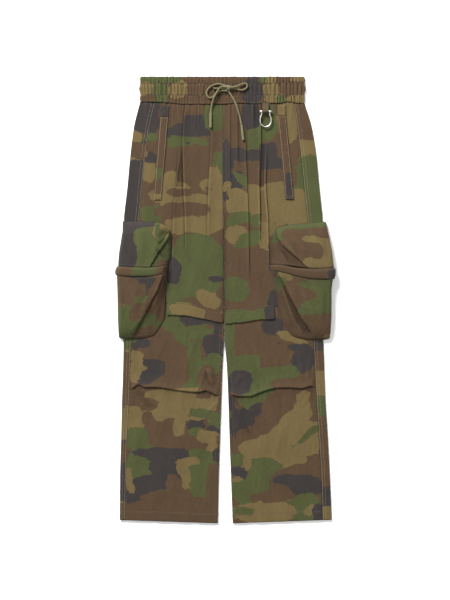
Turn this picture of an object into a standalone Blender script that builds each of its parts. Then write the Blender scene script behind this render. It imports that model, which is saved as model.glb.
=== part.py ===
"""Drawstring cargo trousers with zip-off lower legs, laid flat on their back.

Row frame: +X is the wearer's left (the viewer's right), +Y runs from the hems to the waist, +Z points up out
of the front. The origin is under the middle of the whole outline, on the surface that the trousers lie on.

Cloth is worked out in millimetres and written in metres. Across a leg, a point is given by w, its distance
outwards from the line X = 0: w = -X on the wearer's right leg and w = +X on the left one.
"""

import math
from collections import namedtuple

import bmesh
import bpy
import numpy as np
from mathutils import Matrix, Vector

MM = 0.001
GAP = 0.3  # between two pieces at a seam, or between a piece and what it lies on

# Cloth
CLOTH = 1.3  # thickness of one wall of the shell
BACK_MID = CLOTH / 2  # height of the middle of the back wall, which lies on the surface
FRONT_MID = 4.0  # height of the middle of the front wall where it has no fold
FOLD_RADIUS = (FRONT_MID - BACK_MID) / 2  # of the creased edges of a flat leg
LAYER = CLOTH + 2 * GAP  # from the middle of a panel to the middle of what lies on it
FOLD_END = 0.45  # the walls stop this far above and below the middle of an inner fold
ZIP_GAP = 0.9  # between the two halves of the zip-off seam
POCKET_GAP = 1.0  # between the flap, the band and the pouch of a pocket

# Levels along the length
WAIST_SEAM = 453.0
BAND_OVERHANG = 8.5  # a cord that leaves the waistband stays at its height for this far below the seam
CROTCH_START, CROTCH_END = 215.0, 190.0  # where the two fronts part and turn into inner leg folds

# The outline of each leg: its outer fold, its outseam on the front, and its centre seam or inner fold
Level = namedtuple("Level", "y outer outseam inner")
LEG = {
    "right": [
        Level(453, 195.5, 161.0, 5.45),
        Level(400, 209.3, 174.0, 5.45),
        Level(327, 218.5, 184.7, 5.45),
        Level(253, 225.4, 192.0, 5.45),
        Level(215, 230.0, 195.3, 5.45),
        Level(190, 232.5, 198.0, 2.30),
        Level(0, 234.0, 212.0, 2.30),
        Level(-86, 233.5, 216.5, 2.30),
        Level(-152, 234.5, 218.6, 5.50),
        Level(-225, 237.0, 221.0, 8.00),
        Level(-317, 239.2, 226.0, 11.20),
        Level(-409, 241.5, 228.5, 14.20),
        Level(-514, 242.2, 230.5, 16.30),
    ],
    "left": [
        Level(453, 182.9, 158.7, -5.15),
        Level(400, 199.0, 166.8, -5.15),
        Level(327, 210.9, 176.0, -5.15),
        Level(253, 218.0, 183.5, -5.15),
        Level(215, 222.0, 187.5, -5.15),
        Level(190, 224.5, 190.0, -1.70),
        Level(0, 226.0, 200.5, -1.70),
        Level(-86, 226.5, 204.0, -1.00),
        Level(-152, 228.5, 207.0, 3.90),
        Level(-225, 231.2, 211.0, 7.40),
        Level(-317, 236.9, 217.0, 10.40),
        Level(-409, 241.5, 222.0, 13.80),
        Level(-514, 246.1, 225.4, 17.80),
    ],
}
SIDES = {"right": -1, "left": 1}

# Pleats that fall from the waist seam. Each crest runs through these levels, stands up on the side of the
# centre seam and swells over its reach. A pleat shows between its start and its end.
FOLD_LEVELS = (453, 345, 262, 190, -30)
Fold = namedtuple("Fold", "waist high_hip hip crotch knee start end rise reach")
FOLDS = {
    "right": [
        Fold(32.0, 32.5, 37.0, 39.5, 42.0, 470, 130, 1.7, 13),
        Fold(62.0, 64.0, 66.0, 68.0, 70.0, 475, 385, 2.0, 8),
        Fold(90.6, 97.5, 95.5, 92.0, 90.0, 480, 110, 3.0, 17),
        Fold(104.0, 106.5, 112.0, 119.0, 122.0, 350, 40, 2.4, 13),
        Fold(122.0, 124.0, 127.5, 131.5, 140.0, 475, 375, 1.8, 8),
    ],
    "left": [
        Fold(11.5, 11.5, 13.0, 15.0, 20.0, 470, 240, 1.5, 12),
        Fold(28.0, 29.0, 31.0, 33.5, 38.0, 470, 290, 1.4, 9),
        Fold(46.0, 48.0, 51.0, 53.6, 56.0, 410, 40, 2.2, 13),
        Fold(65.8, 66.5, 66.5, 69.0, 71.0, 480, 385, 2.2, 9),
        Fold(81.5, 82.5, 78.7, 80.3, 82.0, 480, 120, 3.0, 15),
        Fold(95.0, 95.5, 93.5, 98.5, 103.0, 350, 50, 2.4, 11),
    ],
}
FOLD_FADE = 55.0  # a pleat swells and dies away over this length at its two ends
PLEAT_EDGE = 2.4  # width of the steep side of a pleat
SOFT_SWELL, SWELL_PITCH = 0.6, 47.0  # low roll of the front between its pleats

# The zip-off seam above the knee, its storm flap's lower edge, and the tuck across the knee
Across = namedtuple("Across", "w y")
KNEE_SEAM = {
    "right": [
        Across(2, -28.5), Across(14, -27.4), Across(43, -19.5), Across(77, -11.0), Across(110, -7.8),
        Across(235, -7.5),
    ],
    "left": [Across(-2, -26.5), Across(41, -23.7), Across(75, -18), Across(114, -15.2), Across(230, -13)],
}
FLAP_EDGE = {
    "right": [
        Across(2, -52), Across(12, -51.3), Across(35, -46.5), Across(70, -39.8), Across(94, -35.6),
        Across(137, -35.2),
    ],
    "left": [Across(-2, -55.5), Across(41, -51.3), Across(79, -45.5), Across(124, -43.7)],
}
FLAP_INSET = 3.0  # the flap starts this far out from the inner fold of its leg
FLAP_OUTER = {"right": 133.0, "left": 114.0}  # it ends here, beside the cargo pocket
FLAP_ABOVE = 3.0  # it starts this far above the seam
FLAP_LIFT = 1.2  # its free edge stands this much further off the leg
FLAP_COLUMNS = 9
KNEE_TUCK = {
    "right": [
        Across(5, -221), Across(23, -217), Across(44.5, -207.5), Across(60.5, -211.4), Across(92.7, -209),
        Across(133, -203.3), Across(160, -200.1), Across(184.7, -200.1), Across(199.2, -193.7),
        Across(212, -201.7), Across(222, -206),
    ],
    "left": [
        Across(6, -214), Across(15.2, -217.4), Across(34.3, -221), Across(56.4, -221), Across(76.6, -213.7),
        Across(98.4, -206.3), Across(116.8, -201.7), Across(144.4, -200.8), Across(175.5, -202.6),
        Across(199.4, -197.1), Across(206, -201.7), Across(212, -204),
    ],
}
TUCK_ENDS = {"right": (24.0, 209.0), "left": (18.0, 197.0)}
TUCK_RISE, TUCK_REACH, TUCK_EDGE, TUCK_FADE = 3.4, 34.0, 2.0, 10.0
HEM = {
    "right": [Across(10, -513.9), Across(245, -506.0)],
    "left": [Across(10, -513.9), Across(250, -505.5)],
}

# Soft creases of the lower legs, each a low ridge along a line
Crease = namedtuple("Crease", "w0 y0 w1 y1 rise half_width")
CREASES = {
    "right": [
        Crease(40, -154, 28, -196, 2.0, 9),
        Crease(196, -200, 160, -246, 1.6, 10),
        Crease(60, -60, 96, -170, 1.0, 12),
        Crease(120, -250, 70, -380, 1.0, 14),
    ],
    "left": [
        Crease(24, -232, 56, -308, 1.8, 9),
        Crease(60, -70, 84, -180, 1.0, 12),
        Crease(170, -110, 176, -190, 1.2, 10),
        Crease(150, -250, 100, -390, 1.0, 14),
    ],
}

# Rows of points down the panels
UPPER_ROWS = (452.85, 436.0, 410.0, 380.0, 345.0, 305.0, 262.0, 225.0, 214.0, 202.0, 190.0, 140.0, 85.0, 35.0)
THIGH_SHARES = (0.0, 0.35, 0.7)  # of the way from the zip seam to the start of the knee tuck
TUCK_SHARES = (1.0, 0.55, 0.25, 0.0)  # of the tuck's reach
SHIN_SHARES = (0.0, 0.05, 0.16, 0.32, 0.5, 0.68, 0.85, 0.97, 1.0)  # of the way from the tuck to the hem
FRONT_LOWER_COLUMNS = 15
BACK_COLUMNS = 4
INNER_SIDE, OUTER_SIDE = 12.0, 210.0  # w at which a row meets the inner and the outer side of a leg
FOLD_STEPS = 4  # round an outer fold

# Waistband: an elastic ring laid flat, with two rows of stitching and gathers across its front
BAND_WALL = 2.4
BAND_HEIGHT = 6.4  # from the surface to the valleys of its gathers
GATHERS = 63
GATHER_RISE = 1.2
BandRow = namedtuple("BandRow", "y right left gather drop")
BAND_ROWS = [
    BandRow(514.0, 194.5, 182.0, 0.75, 0.4),
    BandRow(498.0, 195.6, 182.9, 0.35, 0.4),
    BandRow(486.0, 197.6, 184.6, 1.00, 0.0),
    BandRow(473.0, 195.6, 182.9, 0.35, 0.4),
    BandRow(453.15, 195.5, 182.9, 0.80, 0.2),
]
BAND_END_STEPS = 4
BAND_BACK_COLUMNS = 3

# Hip pocket welts: a narrow strip on the front beside the outseam, and a tacked tab at its top
Strip = namedtuple("Strip", "top_in top_out top_y foot_in foot_out foot_y")
WELT = {
    "right": Strip(130.2, 148.8, 421.0, 146.5, 164.2, 230.0),
    "left": Strip(121.7, 140.3, 423.5, 139.6, 158.7, 231.0),
}
TAB = {
    "right": Strip(128.6, 147.6, 446.5, 129.9, 149.0, 421.6),
    "left": Strip(120.9, 140.3, 448.5, 121.4, 140.6, 424.1),
}
WELT_ROWS, TAB_ROWS = 9, 3

# Cargo pockets. Each stands off the leg as a bellows and wraps round its outer fold. Level by level: the inner
# edge where its gusset meets the leg, and the outer side.
PocketLevel = namedtuple("PocketLevel", "y inner outer")
POCKET = {
    "right": [
        PocketLevel(181, 127.0, 232.3),
        PocketLevel(162, 125.4, 235.2),
        PocketLevel(141, 122.6, 238.6),
        PocketLevel(108, 123.7, 243.8),
        PocketLevel(78, 131.0, 246.0),
        PocketLevel(56, 134.1, 249.2),
        PocketLevel(19, 135.0, 247.5),
        PocketLevel(-20, 136.2, 246.8),
        PocketLevel(-55, 138.0, 246.0),
        PocketLevel(-90, 141.0, 244.0),
    ],
    "left": [
        PocketLevel(181, 113.0, 232.6),
        PocketLevel(162, 114.0, 236.0),
        PocketLevel(142, 107.2, 241.0),
        PocketLevel(113, 105.6, 245.6),
        PocketLevel(78, 103.0, 250.8),
        PocketLevel(56, 111.3, 249.5),
        PocketLevel(25, 116.2, 245.3),
        PocketLevel(-20, 120.7, 245.2),
        PocketLevel(-55, 124.0, 244.2),
        PocketLevel(-92, 128.0, 240.8),
    ],
}
# The front face of a pocket ends in a lip that hangs over its gusset. The lip slants outwards down the flap,
# and again down the pouch.
FLAP_LIP = {
    "right": [Across(133, 172), Across(135, 141), Across(150, 112), Across(166, 86), Across(172, 74)],
    "left": [
        Across(120, 172), Across(122, 146), Across(134, 121), Across(156, 104), Across(180, 84),
        Across(190, 72),
    ],
}
POUCH_LIP = {
    "right": [
        Across(144, 57), Across(151, 32), Across(168, -1), Across(188, -45), Across(204, -72),
        Across(212, -90),
    ],
    "left": [
        Across(122, 62), Across(138, 34), Across(153, 10), Across(169, -19), Across(186, -48),
        Across(203, -72),
        Across(211, -92),
    ],
}
# Edges across a pocket, by the share of the way from its inner to its outer side
Edge = namedtuple("Edge", "share right left")
POCKET_TOP = [
    Edge(0, 160.0, 162.0), Edge(0.1, 172.0, 169.0), Edge(0.25, 178.0, 172.0), Edge(0.5, 180.0, 175.5),
    Edge(1, 180.6, 179.2),
]
BAND_TOP = [
    Edge(0, 80.5, 81.0), Edge(0.2, 75.5, 80.0), Edge(0.45, 73.6, 72.5), Edge(0.7, 74.8, 71.0),
    Edge(1, 77.0, 73.4),
]
BAND_FOOT = [
    Edge(0, 62.8, 69.5), Edge(0.15, 58.5, 65.0), Edge(0.35, 54.8, 57.5), Edge(0.6, 54.0, 50.0),
    Edge(0.85, 55.2, 47.4), Edge(1, 57.3, 48.0),
]
POUCH_FOOT = [
    Edge(0, -40, -36), Edge(0.05, -60, -56), Edge(0.12, -73, -68), Edge(0.27, -81.5, -81),
    Edge(0.45, -86.5, -88.5),
    Edge(0.7, -89.2, -91.5), Edge(0.93, -89.2, -91), Edge(1, -86, -88),
]
POCKET_DEPTH = 20.0  # the front face stands this far off the leg
GUSSET_DEPTH = 10.0  # the gusset beside it lies lower, but rises nearly as high as the face at the band
LIP_DROP, LIP_EDGE = 4.0, 1.6
POCKET_SHOULDER = 7.0  # radius of the outer side
PocketRow = namedtuple("PocketRow", "share fullness plump lip")  # plump: how squarely the gusset rises
FLAP_ROWS = [
    PocketRow(0.0, 0.02, 0.0, 0.0),
    PocketRow(0.07, 0.42, 0.0, 0.4),
    PocketRow(0.2, 0.66, 0.0, 1.0),
    PocketRow(0.45, 0.84, 0.1, 1.0),
    PocketRow(0.75, 0.95, 0.5, 1.0),
    PocketRow(1.0, 1.0, 1.0, 0.7),
]
POUCH_ROWS = [
    PocketRow(0.0, 1.0, 1.0, 0.6),
    PocketRow(0.2, 1.0, 0.7, 1.0),
    PocketRow(0.45, 0.97, 0.3, 1.0),
    PocketRow(0.7, 0.86, 0.0, 1.0),
    PocketRow(0.86, 0.62, 0.0, 0.7),
    PocketRow(0.95, 0.34, 0.0, 0.2),
    PocketRow(1.0, 0.02, 0.0, 0.0),
]
PocketBandRow = namedtuple("PocketBandRow", "share proud")
POCKET_BAND_ROWS = [
    PocketBandRow(0.0, 0.0), PocketBandRow(0.3, 2.2), PocketBandRow(0.7, 2.2), PocketBandRow(1.0, 0.0),
]
POCKET_BAND_THICK = 3.0
POCKET_BAND_LIP = 26.0  # the band has no lip: its face begins this far from its inner edge

# Drawstring and shackle
CORD_RADIUS = 2.0
CORD_FACETS = 2  # steps in each quarter of a cord's round section
TIP_RADIUS = 2.9
SHACKLE_X, PIN_Y, PIN_Z = 93.2, 432.6, 12.0
WIRE_RADIUS = 1.75
BOW_FOOT_Z = 10.6
BowPoint = namedtuple("BowPoint", "x below")  # of the middle of the wire, from the middle of the pin
BOW_HALF = [
    BowPoint(9.4, 0.0), BowPoint(9.3, 7.0), BowPoint(11.2, 12.0), BowPoint(12.6, 18.0), BowPoint(11.6, 24.5),
    BowPoint(8.6, 29.9), BowPoint(4.6, 33.4), BowPoint(0.0, 34.7),
]
EYE_X, EYE_HALF_WIDTH, EYE_RADIUS, EYE_HOLE = 9.4, 1.6, 3.3, 1.85
PIN_RADIUS, PIN_HEAD_RADIUS, PIN_HEAD_THICK = 1.5, 3.0, 2.4
PIN_DOME, PIN_SEGMENTS = 0.8, 16
HINGE = Vector((SHACKLE_X, PIN_Y, PIN_Z)) * MM
LOOP_HALF_WIDTH, LOOP_THICK = 7.2, 1.1
LOOP_CLEARANCE = 0.5  # between the loop and the pin inside it
LoopPoint = namedtuple("LoopPoint", "y z")
LOOP_OVER = [LoopPoint(452.6, 7.8), LoopPoint(446.5, 9.8), LoopPoint(439.5, 13.0)]
LOOP_UNDER = [LoopPoint(437.0, 8.9), LoopPoint(443.5, 7.3), LoopPoint(452.6, 6.3)]
LOOP_ROUND_STEPS = 5

# The drawstring: its strands lead from a slit in the waistband to a bow. Each point is on the cloth or, where
# one strand crosses another, that much above it.
CordPoint = namedtuple("CordPoint", "x y over")
STRAND_LEAD = [
    CordPoint(-27.4, 486.4, 0), CordPoint(-18, 485.9, 0), CordPoint(-8, 485.8, 0), CordPoint(2.2, 485.9, 0),
]
BOW_LOOP_RIGHT = [
    CordPoint(2.2, 491.7, 0), CordPoint(-10.1, 495.4, 0), CordPoint(-19.8, 495.9, 0),
    CordPoint(-29.7, 492.2, 0),
    CordPoint(-38.6, 485.1, 0), CordPoint(-42.6, 475.2, 0), CordPoint(-39.6, 467.4, 0),
    CordPoint(-34.5, 464.4, 0),
    CordPoint(-29.2, 465.7, 0), CordPoint(-25.0, 469.6, 0), CordPoint(-20.2, 474.8, 0),
    CordPoint(-15.0, 478.7, 0),
    CordPoint(-8.0, 480.7, 0), CordPoint(1.8, 480.8, 0),
]
FREE_END_RIGHT = [
    CordPoint(2.2, 489.0, 4.6), CordPoint(-6.5, 489.6, 4.8), CordPoint(-11.5, 487.2, 4.8),
    CordPoint(-16.3, 480.6, 4.8),
    CordPoint(-21.9, 471.3, 4.8), CordPoint(-26.7, 461.6, 3.6), CordPoint(-29.9, 450.5, 0.4),
    CordPoint(-31.9, 438.0, 0), CordPoint(-32.8, 430.3, 0),
]
BOW_LOOP_LEFT = [
    CordPoint(13.0, 486.2, 0), CordPoint(20.0, 485.6, 0), CordPoint(27.4, 484.4, 0),
    CordPoint(37.3, 482.5, 0),
    CordPoint(45.6, 484.6, 0), CordPoint(50.8, 489.9, 0), CordPoint(50.0, 495.2, 0.3),
    CordPoint(43.9, 497.3, 0.9),
    CordPoint(34.8, 494.4, 2.0), CordPoint(26.5, 490.2, 4.2), CordPoint(20.0, 488.6, 4.7),
    CordPoint(13.0, 488.2, 4.7),
]
FREE_END_LEFT = [
    CordPoint(8.2, 479.2, 0), CordPoint(14.5, 469.4, 0), CordPoint(21.4, 457.5, 0), CordPoint(26.6, 445.5, 0),
    CordPoint(30.6, 433.0, 0), CordPoint(34.3, 420.2, 0), CordPoint(38.2, 401.2, 0),
]
TIP_RIGHT = [CordPoint(-32.8, 430.0, 0), CordPoint(-33.1, 395.8, 0)]
TIP_LEFT = [CordPoint(38.3, 400.8, 0), CordPoint(41.9, 367.5, 0)]
KNOT_CENTRE, KNOT_SIZE = (7.6, 487.2), (4.7, 6.4, 4.4)
KNOT_SEGMENTS, KNOT_RINGS = 12, 8

COLORS = {
    "cloth_right_upper": (0.095, 0.118, 0.050),
    "cloth_left_upper": (0.115, 0.082, 0.048),
    "cloth_lower": (0.150, 0.125, 0.070),
    "cloth_back": (0.070, 0.066, 0.060),
    "cloth_trim": (0.185, 0.160, 0.095),
    "cloth_pocket": (0.090, 0.100, 0.048),
    "cord": (0.230, 0.210, 0.115),
    "cord_tip": (0.300, 0.290, 0.180),
    "metal": (0.720, 0.710, 0.690),
}

COLLECTION = "camouflage_cargo_trousers"


# ------------------------------------------------------------------------------ curves


def smooth_step(value):
    """Ease from 0 to 1 as the value goes from 0 to 1."""
    t = min(max(value, 0.0), 1.0)
    return t * t * (3.0 - 2.0 * t)


def mix(a, b, share):
    return a + (b - a) * share


def through(table, key, value):
    """Return a smooth function through two columns of a table. It stays level beyond the table's ends."""
    rows = sorted(table, key=lambda row: getattr(row, key))
    xs = [float(getattr(row, key)) for row in rows]
    ys = [float(getattr(row, value)) for row in rows]
    steps = [b - a for a, b in zip(xs, xs[1:])]
    rates = [(b - a) / step for a, b, step in zip(ys, ys[1:], steps)]
    slopes = [rates[0]]
    for before, after in zip(rates, rates[1:]):
        slopes.append(2.0 * before * after / (before + after) if before * after > 0 else 0.0)
    slopes.append(rates[-1])

    def at(x):
        if x <= xs[0]:
            return ys[0]
        if x >= xs[-1]:
            return ys[-1]
        i = int(np.searchsorted(xs, x, side="right")) - 1
        t = (x - xs[i]) / steps[i]
        rise = ys[i] * (1 + 2 * t) * (1 - t) ** 2 + ys[i + 1] * t * t * (3 - 2 * t)
        return rise + steps[i] * (slopes[i] * t * (1 - t) ** 2 - slopes[i + 1] * t * t * (1 - t))

    return at


# ------------------------------------------------------------------------------ legs


class Leg:
    """The shape of one side of the trousers, from the waist seam to the hem."""

    def __init__(self, side):
        self.side = side
        self.sign = SIDES[side]
        self.outer = through(LEG[side], "y", "outer")
        self.outseam = through(LEG[side], "y", "outseam")
        self.inner = through(LEG[side], "y", "inner")
        self.knee = through(KNEE_SEAM[side], "w", "y")
        self.flap_edge = through(FLAP_EDGE[side], "w", "y")
        self.tuck = through(KNEE_TUCK[side], "w", "y")
        self.hem = through(HEM[side], "w", "y")
        self.folds = []
        for fold in FOLDS[side]:
            line = [Across(w, y) for w, y in zip(fold[:5], FOLD_LEVELS)]
            self.folds.append((through(line, "y", "w"), fold))

    def bend(self, y):
        """How far the inner end of a section has turned down into a fold: 0 above the crotch, 1 below it."""
        return smooth_step((CROTCH_START - y) / (CROTCH_START - CROTCH_END))

    def inner_end(self, y, upward):
        """Points of a wall from the middle of the inner fold, or from the centre seam, onto its flat part."""
        level = (FRONT_MID + BACK_MID) / 2 + upward * FOLD_END
        radius = abs((FRONT_MID if upward > 0 else BACK_MID) - level)
        bend = self.bend(y)
        turn = math.pi / 2 * bend
        centre = self.inner(y) + (radius + CLOTH / 2) * math.sin(turn)
        points = []
        for step in range(3):
            angle = turn * (1 - step / 2)
            w = centre - radius * math.sin(angle) + 0.9 * step * (1 - bend)
            points.append((w, level + upward * radius * math.cos(angle)))
        return points

    def spans(self, y):
        """Start, crest, foot and height of every pleat at this level."""
        previous = self.inner_end(y, 1)[-1][0]
        found = []
        for line, fold in self.folds:
            crest = line(y)
            start = max(crest - fold.reach, previous + 2.0)
            previous = crest + PLEAT_EDGE
            fade = smooth_step((fold.start - y) / FOLD_FADE) * smooth_step((y - fold.end) / FOLD_FADE)
            found.append((start, crest, previous, fold.rise * fade))
        return found

    def swell(self, w, y):
        """Low roll of the cloth, gone at the seams."""
        fade = smooth_step((w - self.inner(y) - 4) / 18) * smooth_step((self.outseam(y) - w) / 18)
        return SOFT_SWELL * fade * (0.5 - 0.5 * math.cos(2 * math.pi * (w + 0.13 * y) / SWELL_PITCH))

    def relief(self, w, y):
        """How far the front stands up off its flat level."""
        height = self.swell(w, y)
        for start, crest, foot, rise in self.spans(y):
            if start < w <= crest:
                height += rise * ((w - start) / (crest - start)) ** 1.5
            elif crest < w < foot:
                height += rise * (foot - w) / (foot - crest)
        height += self.tuck_relief(w, y)
        for crease in CREASES[self.side]:
            height += self.crease_relief(crease, w, y)
        return height

    def tuck_relief(self, w, y):
        """The cloth above the knee hangs over the cloth below it."""
        above = y - self.tuck(w)
        if above <= -TUCK_EDGE or above >= TUCK_REACH:
            return 0.0
        first, last = TUCK_ENDS[self.side]
        window = smooth_step((w - first) / TUCK_FADE + 1) * smooth_step((last - w) / TUCK_FADE + 1)
        if above < 0:
            return TUCK_RISE * window * (1 + above / TUCK_EDGE)
        return TUCK_RISE * window * (1 - above / TUCK_REACH) ** 1.6

    def crease_relief(self, crease, w, y):
        along_w, along_y = crease.w1 - crease.w0, crease.y1 - crease.y0
        length = math.hypot(along_w, along_y)
        share = ((w - crease.w0) * along_w + (y - crease.y0) * along_y) / length ** 2
        across = abs((w - crease.w0) * along_y - (y - crease.y0) * along_w) / length
        if not 0 < share < 1 or across > 2 * crease.half_width:
            return 0.0
        ends = smooth_step(share / 0.25) * smooth_step((1 - share) / 0.25)
        return crease.rise * ends * math.exp(-((across / crease.half_width) ** 2) * 2)

    def front(self, w, y):
        """Height of the middle of the front wall."""
        return FRONT_MID + self.relief(w, y)

    def point(self, w, y, z):
        return Vector((self.sign * w, y, z))


def upper_lines(leg):
    """Rows down the upper leg, each as a function of w."""
    rows = [lambda w, y=y: y for y in UPPER_ROWS]
    return rows + [lambda w: leg.knee(w) + ZIP_GAP / 2]


def lower_lines(leg):
    """Rows down the lower leg, from the zip seam over the knee tuck to the hem."""
    top = lambda w: leg.knee(w) - ZIP_GAP / 2
    tuck_top = lambda w: leg.tuck(w) + TUCK_REACH
    tuck_foot = lambda w: leg.tuck(w) - TUCK_EDGE
    rows = [lambda w, s=s: mix(top(w), tuck_top(w), s) for s in THIGH_SHARES]
    rows += [lambda w, s=s: leg.tuck(w) + TUCK_REACH * s for s in TUCK_SHARES]
    rows += [lambda w, s=s: mix(tuck_foot(w), leg.hem(w), s) for s in SHIN_SHARES]
    return rows


def front_upper_section(leg, line):
    """One row of the upper front: from the centre seam or inner fold over every pleat to the outseam."""
    y = line(INNER_SIDE)
    row = [(w, line(w), z) for w, z in leg.inner_end(y, 1)]
    for start, crest, foot, _ in leg.spans(y):
        for w in (start, mix(start, crest, 0.6), crest, foot):
            row.append((w, line(w), leg.front(w, line(w))))
    y = line(OUTER_SIDE)
    last = leg.outseam(y) - GAP / 2
    for share in (0.35, 0.7, 1.0):
        w = mix(foot, last, share)
        row.append((w, line(w), leg.front(w, line(w))))
    return row


def front_lower_section(leg, line):
    row = [(w, line(w), z) for w, z in leg.inner_end(line(INNER_SIDE), 1)]
    last = leg.outseam(line(OUTER_SIDE)) - GAP / 2
    first = row[-1][0]
    for i in range(1, FRONT_LOWER_COLUMNS + 1):
        w = mix(first, last, i / FRONT_LOWER_COLUMNS)
        row.append((w, line(w), leg.front(w, line(w))))
    return row


def back_section(leg, line):
    """One row of a back panel: along the back, round the outer fold and on to the outseam at the front."""
    row = [(w, line(w), z) for w, z in leg.inner_end(line(INNER_SIDE), -1)]
    y = line(OUTER_SIDE)
    turn = leg.outer(y) - CLOTH / 2 - FOLD_RADIUS
    first = row[-1][0]
    for i in range(1, BACK_COLUMNS):
        w = mix(first, turn, i / BACK_COLUMNS)
        row.append((w, line(w), BACK_MID))
    for i in range(FOLD_STEPS + 1):
        angle = math.pi * i / FOLD_STEPS
        w = turn + FOLD_RADIUS * math.sin(angle)
        row.append((w, line(w), BACK_MID + FOLD_RADIUS * (1 - math.cos(angle))))
    last = leg.outseam(y) + GAP / 2
    for share in (0.5, 1.0):
        w = mix(turn, last, share)
        row.append((w, line(w), FRONT_MID))
    return row


def storm_flap_rows(leg):
    """The strip that covers the zip-off seam, sewn on above it and loose below it."""
    rows = []
    for share in (0.0, 0.35, 1.0):
        row = []
        for i in range(FLAP_COLUMNS):
            outer = FLAP_OUTER[leg.side]
            first = leg.inner(-30.0) + FLAP_INSET
            w = mix(first, outer, i / (FLAP_COLUMNS - 1))
            y = mix(leg.knee(w) + FLAP_ABOVE, leg.flap_edge(w), share)
            ease = smooth_step((share - 0.2) / 0.8)
            row.append((w, y, leg.front(w, y) + LAYER + FLAP_LIFT * ease))
        rows.append(row)
    return rows


def strip_rows(leg, strip, count):
    """A flat strip on the front, made from the front's own points moved out."""
    rows = []
    for i in range(count):
        share = i / (count - 1)
        y = mix(strip.top_y, strip.foot_y, share)
        row = []
        for across in (0.0, 0.5, 1.0):
            inner = mix(strip.top_in, strip.foot_in, share)
            w = mix(inner, mix(strip.top_out, strip.foot_out, share), across)
            row.append((w, y, leg.front(w, y) + LAYER))
        rows.append(row)
    return rows


# ------------------------------------------------------------------------------ pockets


class Pocket:
    """A bellows pocket that stands off the outside of one leg and wraps round its outer fold."""

    def __init__(self, leg):
        self.leg = leg
        levels = POCKET[leg.side]
        self.inner = through(levels, "y", "inner")
        self.outer = through(levels, "y", "outer")
        self.flap_lip = through(FLAP_LIP[leg.side], "y", "w")
        self.pouch_lip = through(POUCH_LIP[leg.side], "y", "w")
        self.top = through(POCKET_TOP, "share", leg.side)
        self.band_top = through(BAND_TOP, "share", leg.side)
        self.band_foot = through(BAND_FOOT, "share", leg.side)
        self.foot = through(POUCH_FOOT, "share", leg.side)

    def band_lip(self, y):
        return self.inner(y) + POCKET_BAND_LIP

    def section(self, line, lip_line, row, proud=0.0, wall=CLOTH):
        """One row of a pocket piece, from its inner edge on the leg to its outer edge under the fold."""
        base = FRONT_MID + CLOTH / 2 + GAP + wall / 2 + 0.35
        y_in, y_mid, y_out = line(0.0), line(0.4), line(1.0)
        inner = self.inner(y_in) + wall / 2
        lip = max(lip_line(y_mid), inner + 10.0)
        side = self.leg.outer(y_out)
        outer = max(self.outer(y_out) - wall / 2 + proud, side + wall / 2 + 1.6)
        shoulder = outer - POCKET_SHOULDER * mix(0.35, 1.0, row.fullness)
        drop = LIP_DROP * row.lip
        face = POCKET_DEPTH * row.fullness + proud
        edge = face * mix(0.75, 0.92, row.plump)
        gusset = min(mix(GUSSET_DEPTH * row.fullness, edge, row.plump), edge - drop) + proud * (1 - row.plump)
        stations = [
            (inner, base + proud * 0.3),
            (mix(inner, lip, mix(0.4, 0.16, row.plump)), base + gusset * mix(0.5, 0.6, row.plump)),
            (mix(inner, lip, mix(0.75, 0.45, row.plump)), base + gusset * mix(0.85, 0.92, row.plump)),
            (lip - LIP_EDGE / 2, base + gusset),
            (lip + LIP_EDGE / 2, base + gusset + drop),
            (mix(lip, shoulder, 0.3), base + mix(edge, face, 0.7)),
            (mix(lip, shoulder, 0.65), base + face),
            (shoulder, base + face * 0.9),
            (mix(shoulder, outer, 0.75), base + face * 0.62),
            (outer, mix(base - 2.6, base + face * 0.1, 0.5)),
            (mix(side, outer, 0.75), 1.6 + (wall - CLOTH) / 2),
            (side + wall / 2 + 0.2, 1.15 + (wall - CLOTH) / 2),
        ]
        width = outer - inner
        return [(w, line(min(max((w - inner) / width, 0.0), 1.0)), z) for w, z in stations]

    def flap_rows(self):
        rows = []
        for row in FLAP_ROWS:
            line = lambda u, s=row.share: mix(self.top(u), self.band_top(u) + POCKET_GAP, s)
            rows.append(self.section(line, self.flap_lip, row))
        return rows

    def band_rows(self):
        plain = PocketRow(0.0, 1.0, 1.0, 0.0)
        rows = []
        for share, proud in POCKET_BAND_ROWS:
            line = lambda u, s=share: mix(self.band_top(u), self.band_foot(u), s)
            rows.append(self.section(line, self.band_lip, plain, proud, POCKET_BAND_THICK))
        return rows

    def pouch_rows(self):
        rows = []
        for row in POUCH_ROWS:
            line = lambda u, s=row.share: mix(self.band_foot(u) - POCKET_GAP, self.foot(u), s)
            rows.append(self.section(line, self.pouch_lip, row))
        return rows


# ------------------------------------------------------------------------------ waistband


def waistband_rows():
    """Rings of points from the top of the waistband down to its seam, closed round both walls."""
    rows = []
    low, high = BAND_WALL / 2, BAND_HEIGHT - BAND_WALL / 2
    for level in BAND_ROWS:
        top = high - level.drop
        radius = (top - low) / 2
        left_end = level.left - BAND_WALL / 2 - radius
        right_end = -level.right + BAND_WALL / 2 + radius
        ring = []
        count = 2 * GATHERS
        for i in range(count + 1):
            x = mix(right_end, left_end, i / count)
            fade = smooth_step(min(i, count - i) / 3)
            rise = GATHER_RISE * level.gather * fade * (i % 2)
            ring.append(Vector((x, level.y, top + rise)))
        for i in range(1, BAND_END_STEPS):
            angle = math.pi * i / BAND_END_STEPS
            z = low + radius * (1 + math.cos(angle))
            ring.append(Vector((left_end + radius * math.sin(angle), level.y, z)))
        for i in range(BAND_BACK_COLUMNS + 1):
            ring.append(Vector((mix(left_end, right_end, i / BAND_BACK_COLUMNS), level.y, low)))
        for i in range(1, BAND_END_STEPS):
            angle = math.pi * i / BAND_END_STEPS
            z = low + radius * (1 - math.cos(angle))
            ring.append(Vector((right_end - radius * math.sin(angle), level.y, z)))
        rows.append(ring)
    return rows


# ------------------------------------------------------------------------------ meshes


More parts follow.
